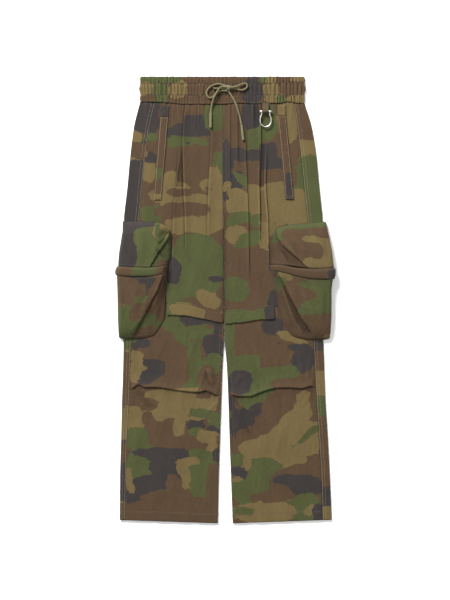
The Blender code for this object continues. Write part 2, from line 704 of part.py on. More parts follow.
def material_for(name, color, metallic=0.0):
    material = bpy.data.materials.new(name)
    material.use_nodes = True
    shader = material.node_tree.nodes["Principled BSDF"]
    shader.inputs["Base Color"].default_value = (*color, 1.0)
    shader.inputs["Roughness"].default_value = 0.25 if metallic else 0.85
    shader.inputs["Metallic"].default_value = metallic
    return material


def add_object(name, data, finish, collection):
    item = bpy.data.objects.new(name, data)
    data.materials.append(material_for(name, COLORS[finish], 1.0 if finish == "metal" else 0.0))
    collection.objects.link(item)
    return item


def add_sheet(name, rows, thickness, finish, collection, closed=False):
    """Open surface through rows of points, given its thickness by a Solidify modifier."""
    mesh = bmesh.new()
    grid = [[mesh.verts.new(Vector(point) * MM) for point in row] for row in rows]
    for upper, lower in zip(grid, grid[1:]):
        count = len(upper)
        for i in range(count if closed else count - 1):
            j = (i + 1) % count
            mesh.faces.new((upper[i], upper[j], lower[j], lower[i]))
    bmesh.ops.recalc_face_normals(mesh, faces=mesh.faces)
    data = bpy.data.meshes.new(name)
    mesh.to_mesh(data)
    mesh.free()
    item = add_object(name, data, finish, collection)
    shell = item.modifiers.new("Cloth thickness", "SOLIDIFY")
    shell.thickness = thickness * MM
    shell.offset = 0.0
    shell.use_even_offset = True
    shell.use_quality_normals = True
    return item


def add_leg_sheet(name, leg, rows, thickness, finish, collection):
    placed = [[leg.point(*point) for point in row] for row in rows]
    return add_sheet(name, placed, thickness, finish, collection)


def add_cord(name, points, radius, finish, collection):
    """Round cord along a line of points, with flat ends."""
    curve = bpy.data.curves.new(name, "CURVE")
    curve.dimensions = "3D"
    curve.bevel_depth = radius * MM
    curve.bevel_resolution = CORD_FACETS
    curve.use_fill_caps = True
    spline = curve.splines.new("POLY")
    spline.points.add(len(points) - 1)
    for i, point in enumerate(points):
        spline.points[i].co = (*(Vector(point) * MM), 1.0)
    return add_object(name, curve, finish, collection)


# ------------------------------------------------------------------------------ cord and metal


def rest_height(legs, x, y, reach):
    """Height of the highest cloth within reach of a point on the front."""
    if y > WAIST_SEAM - BAND_OVERHANG:
        return BAND_HEIGHT + GATHER_RISE
    heights = []
    for step in (-1.0, -0.5, 0.0, 0.5, 1.0):
        across = x + step * reach
        leg = legs["left"] if across > -5.3 else legs["right"]
        heights.append(leg.front(leg.sign * across, y) + CLOTH / 2)
    return max(heights)


def laid_cord(legs, points, radius):
    """The middle of a cord that lies on the front along these points."""
    return [
        Vector((x, y, rest_height(legs, x, y, radius + 1.5) + GAP + radius + over)) for x, y, over in points
    ]


def laid_tip(legs, points):
    """A stiff cord end: straight, and clear of the highest cloth under it."""
    start, end = points
    heights = []
    for i in range(9):
        x, y = mix(start.x, end.x, i / 8), mix(start.y, end.y, i / 8)
        heights.append(rest_height(legs, x, y, TIP_RADIUS + 1.5))
    z = max(heights) + GAP + TIP_RADIUS
    return [Vector((start.x, start.y, z)), Vector((end.x, end.y, z))]


def add_knot(collection):
    """The knot of the bow: a bead of cord, drawn in on both sides of its middle strand."""
    mesh = bmesh.new()
    bmesh.ops.create_uvsphere(mesh, u_segments=KNOT_SEGMENTS, v_segments=KNOT_RINGS, radius=1.0)
    turn = Matrix.Rotation(math.pi / 2, 3, "Y")
    z = BAND_HEIGHT + GATHER_RISE + GAP + KNOT_SIZE[2]
    for vert in mesh.verts:
        unit = turn @ vert.co
        wrap = 1.0 - 0.16 * math.sin(math.pi * min(abs(unit.x) / 0.9, 1.0)) ** 2
        size = Vector((KNOT_SIZE[0] * unit.x, KNOT_SIZE[1] * wrap * unit.y, KNOT_SIZE[2] * wrap * unit.z))
        vert.co = (size + Vector((*KNOT_CENTRE, z))) * MM
    data = bpy.data.meshes.new("drawstring_knot")
    mesh.to_mesh(data)
    mesh.free()
    return add_object("drawstring_knot", data, "cord", collection)


def cylinder_along_x(name, x, radius, half_width, segments, collection):
    mesh = bmesh.new()
    place = Matrix.Translation(Vector((x, PIN_Y, PIN_Z)) * MM) @ Matrix.Rotation(math.pi / 2, 4, "Y")
    bmesh.ops.create_cone(
        mesh, cap_ends=True, segments=segments, radius1=radius * MM, radius2=radius * MM,
        depth=2 * half_width * MM, matrix=place,
    )
    data = bpy.data.meshes.new(name)
    mesh.to_mesh(data)
    mesh.free()
    return add_object(name, data, "metal", collection)


def add_bow(collection):
    """The bow of the shackle: bent wire with a flat drilled eye at each end."""
    half = BOW_HALF[1:]
    line = [(-p.x, p.below) for p in half] + [(p.x, p.below) for p in reversed(half[:-1])]
    line = [(-EYE_X, 2.6)] + line + [(EYE_X, 2.6)]
    length = half[-1].below
    points = [Vector((SHACKLE_X + x, PIN_Y - y, mix(PIN_Z, BOW_FOOT_Z, y / length))) for x, y in line]
    wire = add_cord("wire", points, WIRE_RADIUS, "metal", collection)
    data = bpy.data.meshes.new_from_object(wire)
    data.name = "shackle_bow"
    bow = add_object("shackle_bow", data, "metal", collection)
    parts = [wire]
    for sign in (-1, 1):
        x = SHACKLE_X + sign * EYE_X
        eye = cylinder_along_x("eye", x, EYE_RADIUS, EYE_HALF_WIDTH, 16, collection)
        union = bow.modifiers.new("Eye", "BOOLEAN")
        union.operation, union.solver, union.object = "UNION", "EXACT", eye
        parts.append(eye)
    hole = cylinder_along_x("hole", SHACKLE_X, EYE_HOLE, EYE_X + 4.0, 12, collection)
    cut = bow.modifiers.new("Hole", "BOOLEAN")
    cut.operation, cut.solver, cut.object = "DIFFERENCE", "EXACT", hole
    parts.append(hole)
    finished = bpy.data.meshes.new_from_object(bow.evaluated_get(bpy.context.evaluated_depsgraph_get()))
    finished.name = "shackle_bow_shape"
    bow.modifiers.clear()
    finished.materials.clear()
    finished.materials.append(bow.data.materials[0])
    bow.data = finished
    for part in parts:
        bpy.data.objects.remove(part, do_unlink=True)
    bow.data.transform(Matrix.Translation(-HINGE))
    bow.location = HINGE


def add_pin(collection):
    """The pin of the shackle, turned: a rod with a low domed head at each end."""
    head = EYE_X + EYE_HALF_WIDTH + GAP
    end = head + PIN_HEAD_THICK
    radius = PIN_HEAD_RADIUS
    half = [(end, 0.0), (end, 0.7 * radius), (end - PIN_DOME, radius), (head, radius), (head, PIN_RADIUS)]
    line = [(-x, r) for x, r in half] + [(x, r) for x, r in reversed(half)]
    mesh = bmesh.new()
    verts = [mesh.verts.new(Vector((x, r, 0.0)) * MM) for x, r in line]
    for a, b in zip(verts, verts[1:]):
        mesh.edges.new((a, b))
    data = bpy.data.meshes.new("shackle_pin")
    mesh.to_mesh(data)
    mesh.free()
    item = add_object("shackle_pin", data, "metal", collection)
    item.location = HINGE
    turn = item.modifiers.new("Turned", "SCREW")
    turn.axis = "X"
    turn.steps = turn.render_steps = PIN_SEGMENTS
    turn.use_merge_vertices = True
    turn.merge_threshold = GAP * MM / 10
    turn.use_normal_calculate = True


def ring_loop_rows():
    """The cloth loop that carries the shackle: down from the waist seam, round the pin and back."""
    radius = PIN_RADIUS + LOOP_CLEARANCE + LOOP_THICK / 2
    path = list(LOOP_OVER)
    for i in range(LOOP_ROUND_STEPS + 1):
        angle = math.pi / 2 + math.pi * i / LOOP_ROUND_STEPS
        path.append(LoopPoint(PIN_Y + radius * math.cos(angle), PIN_Z + radius * math.sin(angle)))
    path += LOOP_UNDER
    half = LOOP_HALF_WIDTH
    return [[Vector((SHACKLE_X + x, p.y, p.z)) for x in (-half, 0.0, half)] for p in path]


# ------------------------------------------------------------------------------ assembly


def build_leg(leg, collection):
    side = leg.side
    upper, lower = upper_lines(leg), lower_lines(leg)
    sheets = [
        (f"front_{side}_upper", [front_upper_section(leg, line) for line in upper], f"cloth_{side}_upper"),
        (f"front_{side}_lower", [front_lower_section(leg, line) for line in lower], "cloth_lower"),
        (f"back_{side}_upper", [back_section(leg, line) for line in upper], "cloth_back"),
        (f"back_{side}_lower", [back_section(leg, line) for line in lower], "cloth_back"),
        (f"zip_flap_{side}", storm_flap_rows(leg), "cloth_trim"),
        (f"hip_welt_{side}", strip_rows(leg, WELT[side], WELT_ROWS), "cloth_trim"),
        (f"hip_tab_{side}", strip_rows(leg, TAB[side], TAB_ROWS), "cloth_trim"),
    ]
    pocket = Pocket(leg)
    sheets += [
        (f"cargo_flap_{side}", pocket.flap_rows(), "cloth_pocket"),
        (f"cargo_pouch_{side}", pocket.pouch_rows(), "cloth_pocket"),
    ]
    for name, rows, finish in sheets:
        add_leg_sheet(name, leg, rows, CLOTH, finish, collection)
    add_leg_sheet(f"cargo_band_{side}", leg, pocket.band_rows(), POCKET_BAND_THICK, "cloth_trim", collection)


def build_drawstring(legs, collection):
    strands = [
        ("drawstring_lead", STRAND_LEAD),
        ("drawstring_loop_right", BOW_LOOP_RIGHT),
        ("drawstring_loop_left", BOW_LOOP_LEFT),
        ("drawstring_end_right", FREE_END_RIGHT),
        ("drawstring_end_left", FREE_END_LEFT),
    ]
    for name, points in strands:
        add_cord(name, laid_cord(legs, points, CORD_RADIUS), CORD_RADIUS, "cord", collection)
    for name, points in (("drawstring_tip_right", TIP_RIGHT), ("drawstring_tip_left", TIP_LEFT)):
        add_cord(name, laid_tip(legs, points), TIP_RADIUS, "cord_tip", collection)
    add_knot(collection)


def main():
    for item in list(bpy.data.objects):
        bpy.data.objects.remove(item, do_unlink=True)
    collection = bpy.data.collections.new(COLLECTION)
    bpy.context.scene.collection.children.link(collection)
    legs = {side: Leg(side) for side in SIDES}
    add_sheet("waistband", waistband_rows(), BAND_WALL, "cloth_trim", collection, closed=True)
    for leg in legs.values():
        build_leg(leg, collection)
    build_drawstring(legs, collection)
    add_sheet("ring_loop", ring_loop_rows(), LOOP_THICK, "cloth_trim", collection)
    add_bow(collection)
    add_pin(collection)


main()
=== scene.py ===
"""Drawstring cargo trousers with zip-off lower legs, laid flat on a pale floor and seen from straight above.

Cloth is worked out in millimetres and written in metres. Across a leg, w is the distance outwards from X = 0.
"""

import math
from collections import namedtuple

import bpy
import numpy as np
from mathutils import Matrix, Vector


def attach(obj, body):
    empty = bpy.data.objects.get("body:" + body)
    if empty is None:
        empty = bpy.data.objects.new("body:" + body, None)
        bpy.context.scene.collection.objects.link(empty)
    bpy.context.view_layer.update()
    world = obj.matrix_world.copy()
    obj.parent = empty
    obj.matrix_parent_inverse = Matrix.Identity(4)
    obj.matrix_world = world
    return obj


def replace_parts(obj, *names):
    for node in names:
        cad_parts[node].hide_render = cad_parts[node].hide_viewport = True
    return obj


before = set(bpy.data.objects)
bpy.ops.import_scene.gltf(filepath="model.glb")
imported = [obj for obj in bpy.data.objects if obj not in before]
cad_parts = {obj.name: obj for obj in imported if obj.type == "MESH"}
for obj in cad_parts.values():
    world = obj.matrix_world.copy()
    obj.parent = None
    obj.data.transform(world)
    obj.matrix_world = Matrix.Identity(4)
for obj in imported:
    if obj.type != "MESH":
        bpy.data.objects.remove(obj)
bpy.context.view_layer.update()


def rows(columns, *values):
    """A table with named columns. What a row leaves out at its end is 0."""
    row = namedtuple("Row", columns, defaults=[0.0] * len(columns.split()))
    return [row(*each) for each in values]


def by_side(columns, right, left):
    return {"right": rows(columns, *right), "left": rows(columns, *left)}


MM = 0.001
GAP = 0.3  # between pieces that lie on each other
CLOTH = 1.3
LAYER = CLOTH + 2 * GAP
BACK_MID, FRONT_MID = CLOTH / 2, 4.0  # middles of a leg's two walls
FOLD_RADIUS = (FRONT_MID - BACK_MID) / 2
FOLD_END = 0.45  # half the gap between the two walls at the inner fold
ZIP_GAP = 0.9
SIDES = {"right": -1, "left": 1}

# ------------------------------------------------------------------------------ sizes of the garment

WAIST_SEAM, WAIST_TOP = 453.0, 514.0
CROTCH_START, CROTCH_END = 215.0, 190.0

# The outline of each leg: its outer fold, its outseam on the front, and its centre seam or inner fold
LEG = by_side(
    "y outer outseam inner",
    right=[
        (453, 195.5, 161, 5.45), (400, 209.3, 174, 5.45), (327, 218.5, 184.7, 5.45), (253, 225.4, 192, 5.45),
        (215, 230, 195.3, 5.45), (190, 232.5, 198, 2.3), (0, 234, 212, 2.3), (-86, 233.5, 216.5, 2.3),
        (-152, 234.5, 218.6, 5.5), (-225, 237, 221, 8), (-317, 239.2, 226, 11.2), (-409, 241.5, 228.5, 14.2),
        (-514, 242.2, 230.5, 16.3),
    ],
    left=[
        (453, 182.9, 158.7, -5.15), (400, 199, 166.8, -5.15), (327, 210.9, 176, -5.15), (253, 218, 183.5, -5.15),
        (215, 222, 187.5, -5.15), (190, 224.5, 190, -1.7), (0, 226, 200.5, -1.7), (-86, 226.5, 204, -1),
        (-152, 228.5, 207, 3.9), (-225, 231.2, 211, 7.4), (-317, 236.9, 217, 10.4), (-409, 241.5, 222, 13.8),
        (-514, 246.1, 225.4, 17.8),
    ],
)

# Pleats that fall from the waist seam. Each crest runs through these levels, stands up on the side of the
# centre seam and swells over its reach. A pleat shows between its start and its end.
FOLD_LEVELS = (453, 345, 262, 190, -30)
FOLDS = by_side(
    "waist high_hip hip crotch knee start end rise reach",
    right=[
        (32, 32.5, 37, 39.5, 42, 470, 130, 1.7, 13), (62, 64, 66, 68, 70, 475, 385, 2, 8),
        (90.6, 97.5, 95.5, 92, 90, 480, 110, 3, 17), (104, 106.5, 112, 119, 122, 350, 40, 2.4, 13),
        (122, 124, 127.5, 131.5, 140, 475, 375, 1.8, 8),
    ],
    left=[
        (11.5, 11.5, 13, 15, 20, 470, 240, 1.5, 12), (28, 29, 31, 33.5, 38, 470, 290, 1.4, 9),
        (46, 48, 51, 53.6, 56, 410, 40, 2.2, 13), (65.8, 66.5, 66.5, 69, 71, 480, 385, 2.2, 9),
        (81.5, 82.5, 78.7, 80.3, 82, 480, 120, 3, 15), (95, 95.5, 93.5, 98.5, 103, 350, 50, 2.4, 11),
    ],
)
FOLD_FADE = 55.0  # a pleat swells and dies away over this length at its two ends
PLEAT_EDGE = 2.4  # width of the steep side of a pleat
SOFT_SWELL, SWELL_PITCH = 0.6, 47.0  # low roll of the front between its pleats
# Open feet of pleats, where the layer below shows between two edges. It sinks by depth and takes painted shade by
# dark.
VALLEYS = by_side(
    "top foot inner_top inner_foot outer_top outer_foot depth dark",
    right=[(356, 256, 97, 95, 98, 113.5, 0.9, 0.3), (256, 190, 95, 100, 113, 119, 0.2, 0.12)],
    left=[
        (452, 396, 64, 65, 80, 79.5, 0.3, 0.22), (362, 256, 79, 79.5, 91.5, 90, 0.8, 0.28),
        (256, 176, 79.5, 80, 90, 97, 0.3, 0.2), (452, 300, 29.5, 31, 34, 37, 0.1, 0.08),
    ],
)

# The zip-off seam above the knee, its storm flap's lower edge, and the tuck across the knee
KNEE_SEAM = by_side(
    "w y",
    right=[(2, -28.5), (14, -27.4), (43, -19.5), (77, -11), (110, -7.8), (235, -7.5)],
    left=[(-2, -26.5), (41, -23.7), (75, -18), (114, -15.2), (230, -13)],
)
FLAP_EDGE = by_side(
    "w y",
    right=[(2, -52), (12, -51.3), (35, -46.5), (70, -39.8), (94, -35.6), (137, -35.2)],
    left=[(-2, -55.5), (41, -51.3), (79, -45.5), (124, -43.7)],
)
FLAP_INSET = 3.0  # the flap starts this far out from the inner fold of its leg
FLAP_OUTER = {"right": 133.0, "left": 114.0}  # it ends here, beside the cargo pocket
FLAP_ABOVE = 3.0  # it starts this far above the seam
FLAP_LIFT = 1.2  # its free edge stands this much further off the leg
KNEE_TUCK = by_side(
    "w y",
    right=[
        (5, -221), (23, -217), (44.5, -207.5), (60.5, -211.4), (92.7, -209), (133, -203.3), (160, -200.1),
        (184.7, -200.1), (199.2, -193.7), (212, -201.7), (222, -206),
    ],
    left=[
        (6, -214), (15.2, -217.4), (34.3, -221), (56.4, -221), (76.6, -213.7), (98.4, -206.3), (116.8, -201.7),
        (144.4, -200.8), (175.5, -202.6), (199.4, -197.1), (206, -201.7), (212, -204),
    ],
)
TUCK_ENDS = {"right": (24.0, 209.0), "left": (18.0, 197.0)}
TUCK_RISE, TUCK_REACH, TUCK_EDGE, TUCK_FADE = 3.4, 34.0, 2.0, 10.0
# Where the cloth of the knee tuck turns under: above its edge, and its share of the tuck's height
TUCK_TURN = rows("above share", (-0.3, 0.72), (0.5, 0.42), (1.6, 0.16), (1.4, 0), (-0.8, 0))
HEM = by_side(
    "w y",
    right=[(10, -513.9), (245, -506)],
    left=[(10, -513.9), (250, -505.5)],
)

# Soft creases of the legs, each a low ridge or trough along a line
CREASES = by_side(
    "w0 y0 w1 y1 rise half_width",
    right=[
        (40, -154, 28, -196, 2, 9), (196, -200, 160, -246, 1.6, 10), (60, -60, 96, -170, 1, 12),
        (120, -250, 70, -380, 1, 14), (24, -176, 44, -154, 1.2, 6), (44, -154, 60, -205, 1, 8),
        (88, -150, 96, -205, 0.7, 9), (140, -120, 148, -196, 0.8, 10), (196, -100, 190, -190, 0.8, 9),
        (20, -232, 44, -262, 0.9, 7), (98, -222, 92, -262, -0.6, 8), (160, -214, 172, -252, -0.7, 8),
        (70, -300, 64, -470, 0.5, 16), (150, -290, 158, -480, 0.5, 18), (110, -420, 180, -470, 0.4, 14),
        (30, 120, 60, 20, 0.5, 12), (50, -118, 45, -157, 0.9, 3), (45, -155, 28, -204, 1.1, 3.5),
        (150, 210, 128, 150, 0.7, 9), (70, 60, 90, 0, 0.6, 10),
    ],
    left=[
        (24, -232, 56, -308, 1.8, 9), (60, -70, 84, -180, 1, 12), (170, -110, 176, -190, 1.2, 10),
        (150, -250, 100, -390, 1, 14), (20, -196, 40, -170, 1.1, 7), (60, -150, 66, -214, 0.8, 9),
        (118, -130, 112, -198, 0.7, 9), (150, -110, 160, -196, 0.9, 9), (196, -120, 186, -192, 0.8, 8),
        (28, -236, 70, -262, 0.9, 7), (126, -212, 132, -258, -0.6, 8), (196, -206, 176, -246, 0.8, 8),
        (80, -300, 86, -470, 0.5, 16), (160, -280, 150, -480, 0.5, 18), (60, -430, 120, -480, 0.4, 14),
        (30, 120, 24, 10, 0.5, 10), (25, -226, 42, -258, 1, 2.5), (40, -254, 62, -312, 1.1, 4),
        (100, 180, 106, 110, 0.9, 7), (70, 80, 84, -4, 0.6, 10), (-2, 266, 12, 276, 0.9, 1.6),
        (-2, 262, 16, 261, 0.8, 1.6), (-1, 257, 10, 246, 0.9, 1.6), (-3, 254, 0, 232, 0.8, 1.5),
        (2, 250, 4, 228, -0.8, 1.5),
    ],
)
# Sharp ones beside the knee tuck, drawn as painted shade. The dark side is outwards, 1, or inwards, -1, of a line
# drawn downwards.
# Each also has a painted highlight on its other side.
KNEE_EDGES = by_side(
    "w0 y0 w1 y1 dark_side dark reach",
    right=[
        (50, -118, 45, -155, 1, 0.16, 3), (45, -155, 27, -206, 1, 0.26, 9), (45, -155, 57, -204, -1, 0.12, 5),
        (136, -90, 157, -142, -1, 0.16, 12), (190, -206, 168, -250, 1, 0.14, 12), (90, -42, 90, -120, -1, 0.1, 6),
    ],
    left=[
        (25, -226, 40, -256, -1, 0.34, 2.4), (40, -254, 62, -312, -1, 0.28, 9), (196, -206, 184, -214, 1, 0.2, 4),
        (186, -204, 170, -236, 1, 0.12, 8), (212, -294, 162, -334, -1, 0.16, 4),
    ],
)
# Painted shade in hollows where the knee tuck ends at the sides of a leg
HOLLOWS = by_side(
    "w y half_w half_y dark",
    right=[(34, -214, 16, 9, 0.22), (196, -212, 14, 10, 0.18), (24, -180, 9, 22, 0.14)],
    left=[(26, -228, 9, 12, 0.15), (40, -260, 9, 24, 0.1), (196, -206, 10, 9, 0.15)],
)

# Hip pocket welt, a narrow strip on the front beside the outseam, and the tacked tab at its top
STRIPS = by_side(
    "top_in top_out top_y foot_in foot_out foot_y",
    right=[(130.2, 148.8, 421, 146.5, 164.2, 230), (128.6, 147.6, 446.5, 129.9, 149, 421.6)],
    left=[(121.7, 140.3, 423.5, 139.6, 158.7, 231), (120.9, 140.3, 448.5, 121.4, 140.6, 424.1)],
)

# Cargo pockets. Each stands off the leg as a bellows and wraps round its outer fold. Level by level: the inner
# edge where its gusset meets the leg, and the outer side.
POCKET = by_side(
    "y inner outer",
    right=[
        (181, 127, 232.3), (162, 125.4, 235.2), (141, 122.6, 238.6), (108, 123.7, 243.8), (78, 131, 246),
        (56, 134.1, 249.2), (19, 135, 247.5), (-20, 136.2, 246.8), (-55, 138, 246), (-90, 141, 244),
    ],
    left=[
        (181, 113, 232.6), (162, 114, 236), (142, 107.2, 241), (113, 105.6, 245.6), (78, 103, 250.8),
        (56, 111.3, 249.5), (25, 116.2, 245.3), (-20, 120.7, 245.2), (-55, 124, 244.2), (-92, 128, 240.8),
    ],
)
# The front face of a pocket ends in a lip that hangs over its gusset. The lip slants outwards down the flap,
# and again down the pouch.
FLAP_LIP = by_side(
    "w y",
    right=[(128, 172), (130, 150), (138, 134), (150, 114), (166, 88), (173, 74)],
    left=[(115, 172), (117, 161), (123, 142.6), (134, 120.3), (157, 104.6), (188, 78), (195, 70)],
)
POUCH_LIP = by_side(
    "w y",
    right=[(139, 60), (150, 32), (169, -3), (192, -42), (206, -68), (214, -90)],
    left=[(113, 66), (118, 54), (135, 30), (154.5, -3.7), (172, -35), (195, -66), (206, -86)],
)
# Edges across a pocket, by the share of the way from its inner to its outer side
POCKET_TOP = rows(
    "share right left",
    (0, 160, 162), (0.1, 172, 169), (0.25, 178, 172), (0.5, 180, 175.5), (1, 180.6, 179.2),
)
BAND_TOP = rows(
    "share right left",
    (0, 80.5, 81), (0.2, 75.5, 80), (0.45, 73.6, 72.5), (0.7, 74.8, 71), (1, 77, 73.4),
)
BAND_FOOT = rows(
    "share right left",
    (0, 62.8, 69.5), (0.15, 58.5, 65), (0.35, 54.8, 57.5), (0.6, 54, 50), (0.85, 55.2, 47.4), (1, 57.3, 48),
)
POUCH_FOOT = rows(
    "share right left",
    (0, -40, -36), (0.05, -60, -56), (0.12, -73, -68), (0.27, -81.5, -81), (0.45, -86.5, -88.5),
    (0.7, -89.2, -91.5), (0.93, -89.2, -91), (1, -86, -88),
)
POCKET_GAP = 1.0
POCKET_DEPTH = 20.0  # the front face stands this far off the leg
GUSSET_DEPTH = 10.0  # the gusset beside it lies lower, but rises nearly as high as the face at the band
LIP_DROP, LIP_EDGE = 4.0, 1.6
LIP_TURN = 1.6  # how far the cloth turns back under a lip
# Strength of the painted shade in a pocket's bellows beside its lip, by side
LIP_DARK = {"right": 0.55, "left": 0.75}
POCKET_SHOULDER = 7.0  # radius of the outer side
# Down each piece of a pocket. Plump is how squarely the gusset rises.
FLAP_ROWS = rows(
    "share fullness plump lip",
    (0, 0.02, 0, 0), (0.07, 0.42, 0, 0.4), (0.2, 0.66, 0, 1), (0.45, 0.84, 0.1, 1), (0.75, 0.95, 0.5, 1),
    (1, 1, 1, 0.7),
)
POUCH_ROWS = rows(
    "share fullness plump lip",
    (0, 1, 1, 0.6), (0.2, 1, 0.7, 1), (0.45, 0.97, 0.3, 1), (0.7, 0.86, 0, 1), (0.86, 0.62, 0, 0.7),
    (0.95, 0.34, 0, 0.2), (1, 0.02, 0, 0),
)
POCKET_BAND_ROWS = rows("share proud", (0, 0), (0.3, 2.2), (0.7, 2.2), (1, 0))
POCKET_BAND_THICK = 3.0
POCKET_BAND_LIP = 26.0  # the band has no lip: its face begins this far from its inner edge
BAND_BULGE = 2.6  # how far the band stands out past the pocket's outer side
# Finer steps between those rows, and between the stations across
POCKET_ACROSS = [5, 5, 5, 3, 3, 12, 12, 8, 4, 4, 3, 3]
FLAP_DOWN, POUCH_DOWN, BAND_DOWN = [6, 7, 12, 14, 13], [14, 16, 16, 10, 6, 5], [4, 5, 4]
FLAP_CREASES = by_side(
    "x0 y0 x1 y1 rise half_width",
    right=[
        (-163, 152, -150, 130, 1.6, 6), (-160, 118, -134, 92, -1.4, 5), (-205, 165, -190, 100, 1, 12),
        (-230, 150, -222, 90, -0.8, 9), (-150, 148, -170, 96, 1.4, 8), (-138, 150, -128, 110, 1, 5),
    ],
    left=[
        (132, 140, 168, 92, 1.8, 7), (150, 150, 190, 104, 1.3, 8), (128, 118, 150, 84, -1.2, 5),
        (196, 165, 214, 96, 0.9, 13), (228, 150, 236, 88, -0.8, 9), (116, 130, 122, 92, 0.8, 5),
    ],
)
POUCH_CREASES = by_side(
    "x0 y0 x1 y1 rise half_width",
    right=[
        (-150, 40, -168, -24, 1.4, 7), (-176, 10, -196, -56, 1.2, 9), (-214, 44, -206, -30, 0.9, 11),
        (-236, 30, -230, -60, -0.8, 8), (-146, -10, -160, -66, -1.2, 6), (-190, -40, -222, -78, 1, 8),
    ],
    left=[
        (128, 30, 166, -60, 1.2, 4), (172, 30, 206, -48, 1.3, 10), (205, 36, 214, -40, 0.8, 12),
        (232, 30, 226, -66, -0.9, 8), (120, 0, 150, -62, 1, 5),
    ],
)
# The corner of the right flap that has folded back: two points across, at its top and at its foot
FLAP_CORNER = [[(-156.4, 178.0), (-124.5, 164.0)], [(-167.0, 149.5), (-151.5, 129.5)]]
CORNER_STEPS = 17

# Waistband: an elastic ring laid flat, with two rows of stitching and gathers across its front
BAND_WALL = 2.4
BAND_HEIGHT = 6.4  # from the surface to the valleys of its gathers
BAND_OVERHANG = 8.5  # what lies this far below its seam is held up by it
GATHER_RISE = 1.2
CHANNELS = (497.0, 471.5)  # the two rows of stitching
FOOT_ROW = 456.4  # one more row, just above the seam
WAIST_COLUMNS, WAIST_TURN, WAIST_BACK = 560, 6, 60  # steps along the front, round each end and along the back
# How far its two ends lie from X = 0
WAIST_SIDES = rows(
    "y right left",
    (514, 192.6, 180.8), (512.5, 194.9, 183.2), (510, 196.2, 184.4), (498, 195.6, 183.8), (486, 198.4, 186.2),
    (473, 195.6, 183.4), (462, 196.4, 184), (453.15, 195, 182.8),
)
# How tightly it is drawn together along its length, and how its seam rises and sinks
WAIST_DRAWN = rows(
    "x strength",
    (-195, 0.7), (-170, 0.9), (-140, 1.3), (-104, 1.15), (-92, 0.6), (-72, 0.5), (-60, 1.1), (-40, 0.9), (10, 0.8),
    (50, 0.7), (82, 0.8), (96, 1.35), (150, 1.4), (182, 1.2),
)
SEAM_LINE = rows(
    "x rise",
    (-195, 2.2), (-160, 1.6), (-126, -0.6), (-94, -3.6), (-48, -3.6), (2, -2.8), (35, -1), (69, -2.6), (104, -1),
    (131, -0.6), (145, 2.2), (166, -0.6), (182, -1),
)
SEAM_REACH_DOWN, SEAM_REACH_UP = 42.0, 22.0

# The drawstring: its strands lead from a slit in the waistband to a bow. Each point is on the cloth or, where
# one strand crosses another, that much above it.
CORD_RADIUS, TIP_RADIUS = 2.0, 2.9
REST_REACH = 1.5  # a cord also rests on what lies this far beside it
STRAND_LEAD = rows("x y over", (-27.4, 486.4), (-18, 485.9), (-8, 485.8), (2.2, 485.9))
BOW_LOOP_RIGHT = rows(
    "x y over",
    (2.2, 491.7), (-10.1, 495.4), (-19.8, 495.9), (-29.7, 492.2), (-38.6, 485.1), (-42.6, 475.2), (-39.6, 467.4),
    (-34.5, 464.4), (-29.2, 465.7), (-25, 469.6), (-20.2, 474.8), (-15, 478.7), (-8, 480.7), (1.8, 480.8),
)
FREE_END_RIGHT = rows(
    "x y over",
    (2.2, 489, 4.6), (-6.5, 489.6, 4.8), (-11.5, 487.2, 4.8), (-16.3, 480.6, 4.8), (-21.9, 471.3, 4.8),
    (-26.7, 461.6, 3.6), (-29.9, 450.5, 0.4), (-31.9, 438), (-32.8, 430.3),
)
BOW_LOOP_LEFT = rows(
    "x y over",
    (13, 486.2), (20, 485.6), (27.4, 484.4), (37.3, 482.5), (45.6, 484.6), (50.8, 489.9), (50, 495.2, 0.3),
    (43.9, 497.3, 0.9), (34.8, 494.4, 2), (26.5, 490.2, 4.2), (20, 488.6, 4.7), (13, 488.2, 4.7),
)
FREE_END_LEFT = rows(
    "x y over",
    (8.2, 479.2), (14.5, 469.4), (21.4, 457.5), (26.6, 445.5), (30.6, 433), (34.3, 420.2), (38.2, 401.2),
)
TIPS = {"right": [(-32.8, 430), (-33.1, 395.8)], "left": [(38.3, 400.8), (41.9, 367.5)]}
KNOT_X, KNOT_Y, KNOT_HALF_HEIGHT = 7.6, 487.2, 4.4

# Shackle: the middle of its wire from the middle of its pin, its two eyes, and the cloth loop round the pin
SHACKLE_X, PIN_Y, PIN_Z, PIN_RADIUS = 93.2, 432.6, 12.0, 1.5
WIRE_RADIUS, BOW_FOOT_Z = 1.75, 10.6
BOW_HALF = rows(
    "x below",
    (9.4, 0), (9.3, 7), (11.4, 12), (12.7, 18), (12.2, 24), (9.8, 29.4), (5.6, 33.2), (0, 34.7),
)
EYE_X, EYE_HALF_WIDTH, EYE_RADIUS, EYE_HOLE = 9.4, 1.6, 3.3, 1.85
LOOP_HALF_WIDTH, LOOP_THICK, LOOP_CLEARANCE, LOOP_ROUND_STEPS = 7.2, 1.1, 0.5, 5
LOOP_OVER = rows("y z", (452.6, 7.8), (446.5, 9.8), (439.5, 13))
LOOP_UNDER = rows("y z", (437, 8.9), (443.5, 7.3), (452.6, 6.3))

# ------------------------------------------------------------------------------ curves and grids


def ease(value):
    """Ease from 0 to 1 as the value goes from 0 to 1."""
    t = np.clip(value, 0.0, 1.0)
    return t * t * (3.0 - 2.0 * t)


def mix(a, b, share):
    return a + (b - a) * share


def bell(value, width):
    return np.exp(-((value / width) ** 2))


def fall(value, length):
    """Dies away from 1 as the value leaves 0."""
    return np.exp(-value / length)


def past(value):
    return np.maximum(value, 0.0)


def shares(count):
    return np.linspace(0.0, 1.0, count)


def unit(vectors):
    return vectors / np.maximum(np.linalg.norm(vectors, axis=-1, keepdims=True), 1e-9)


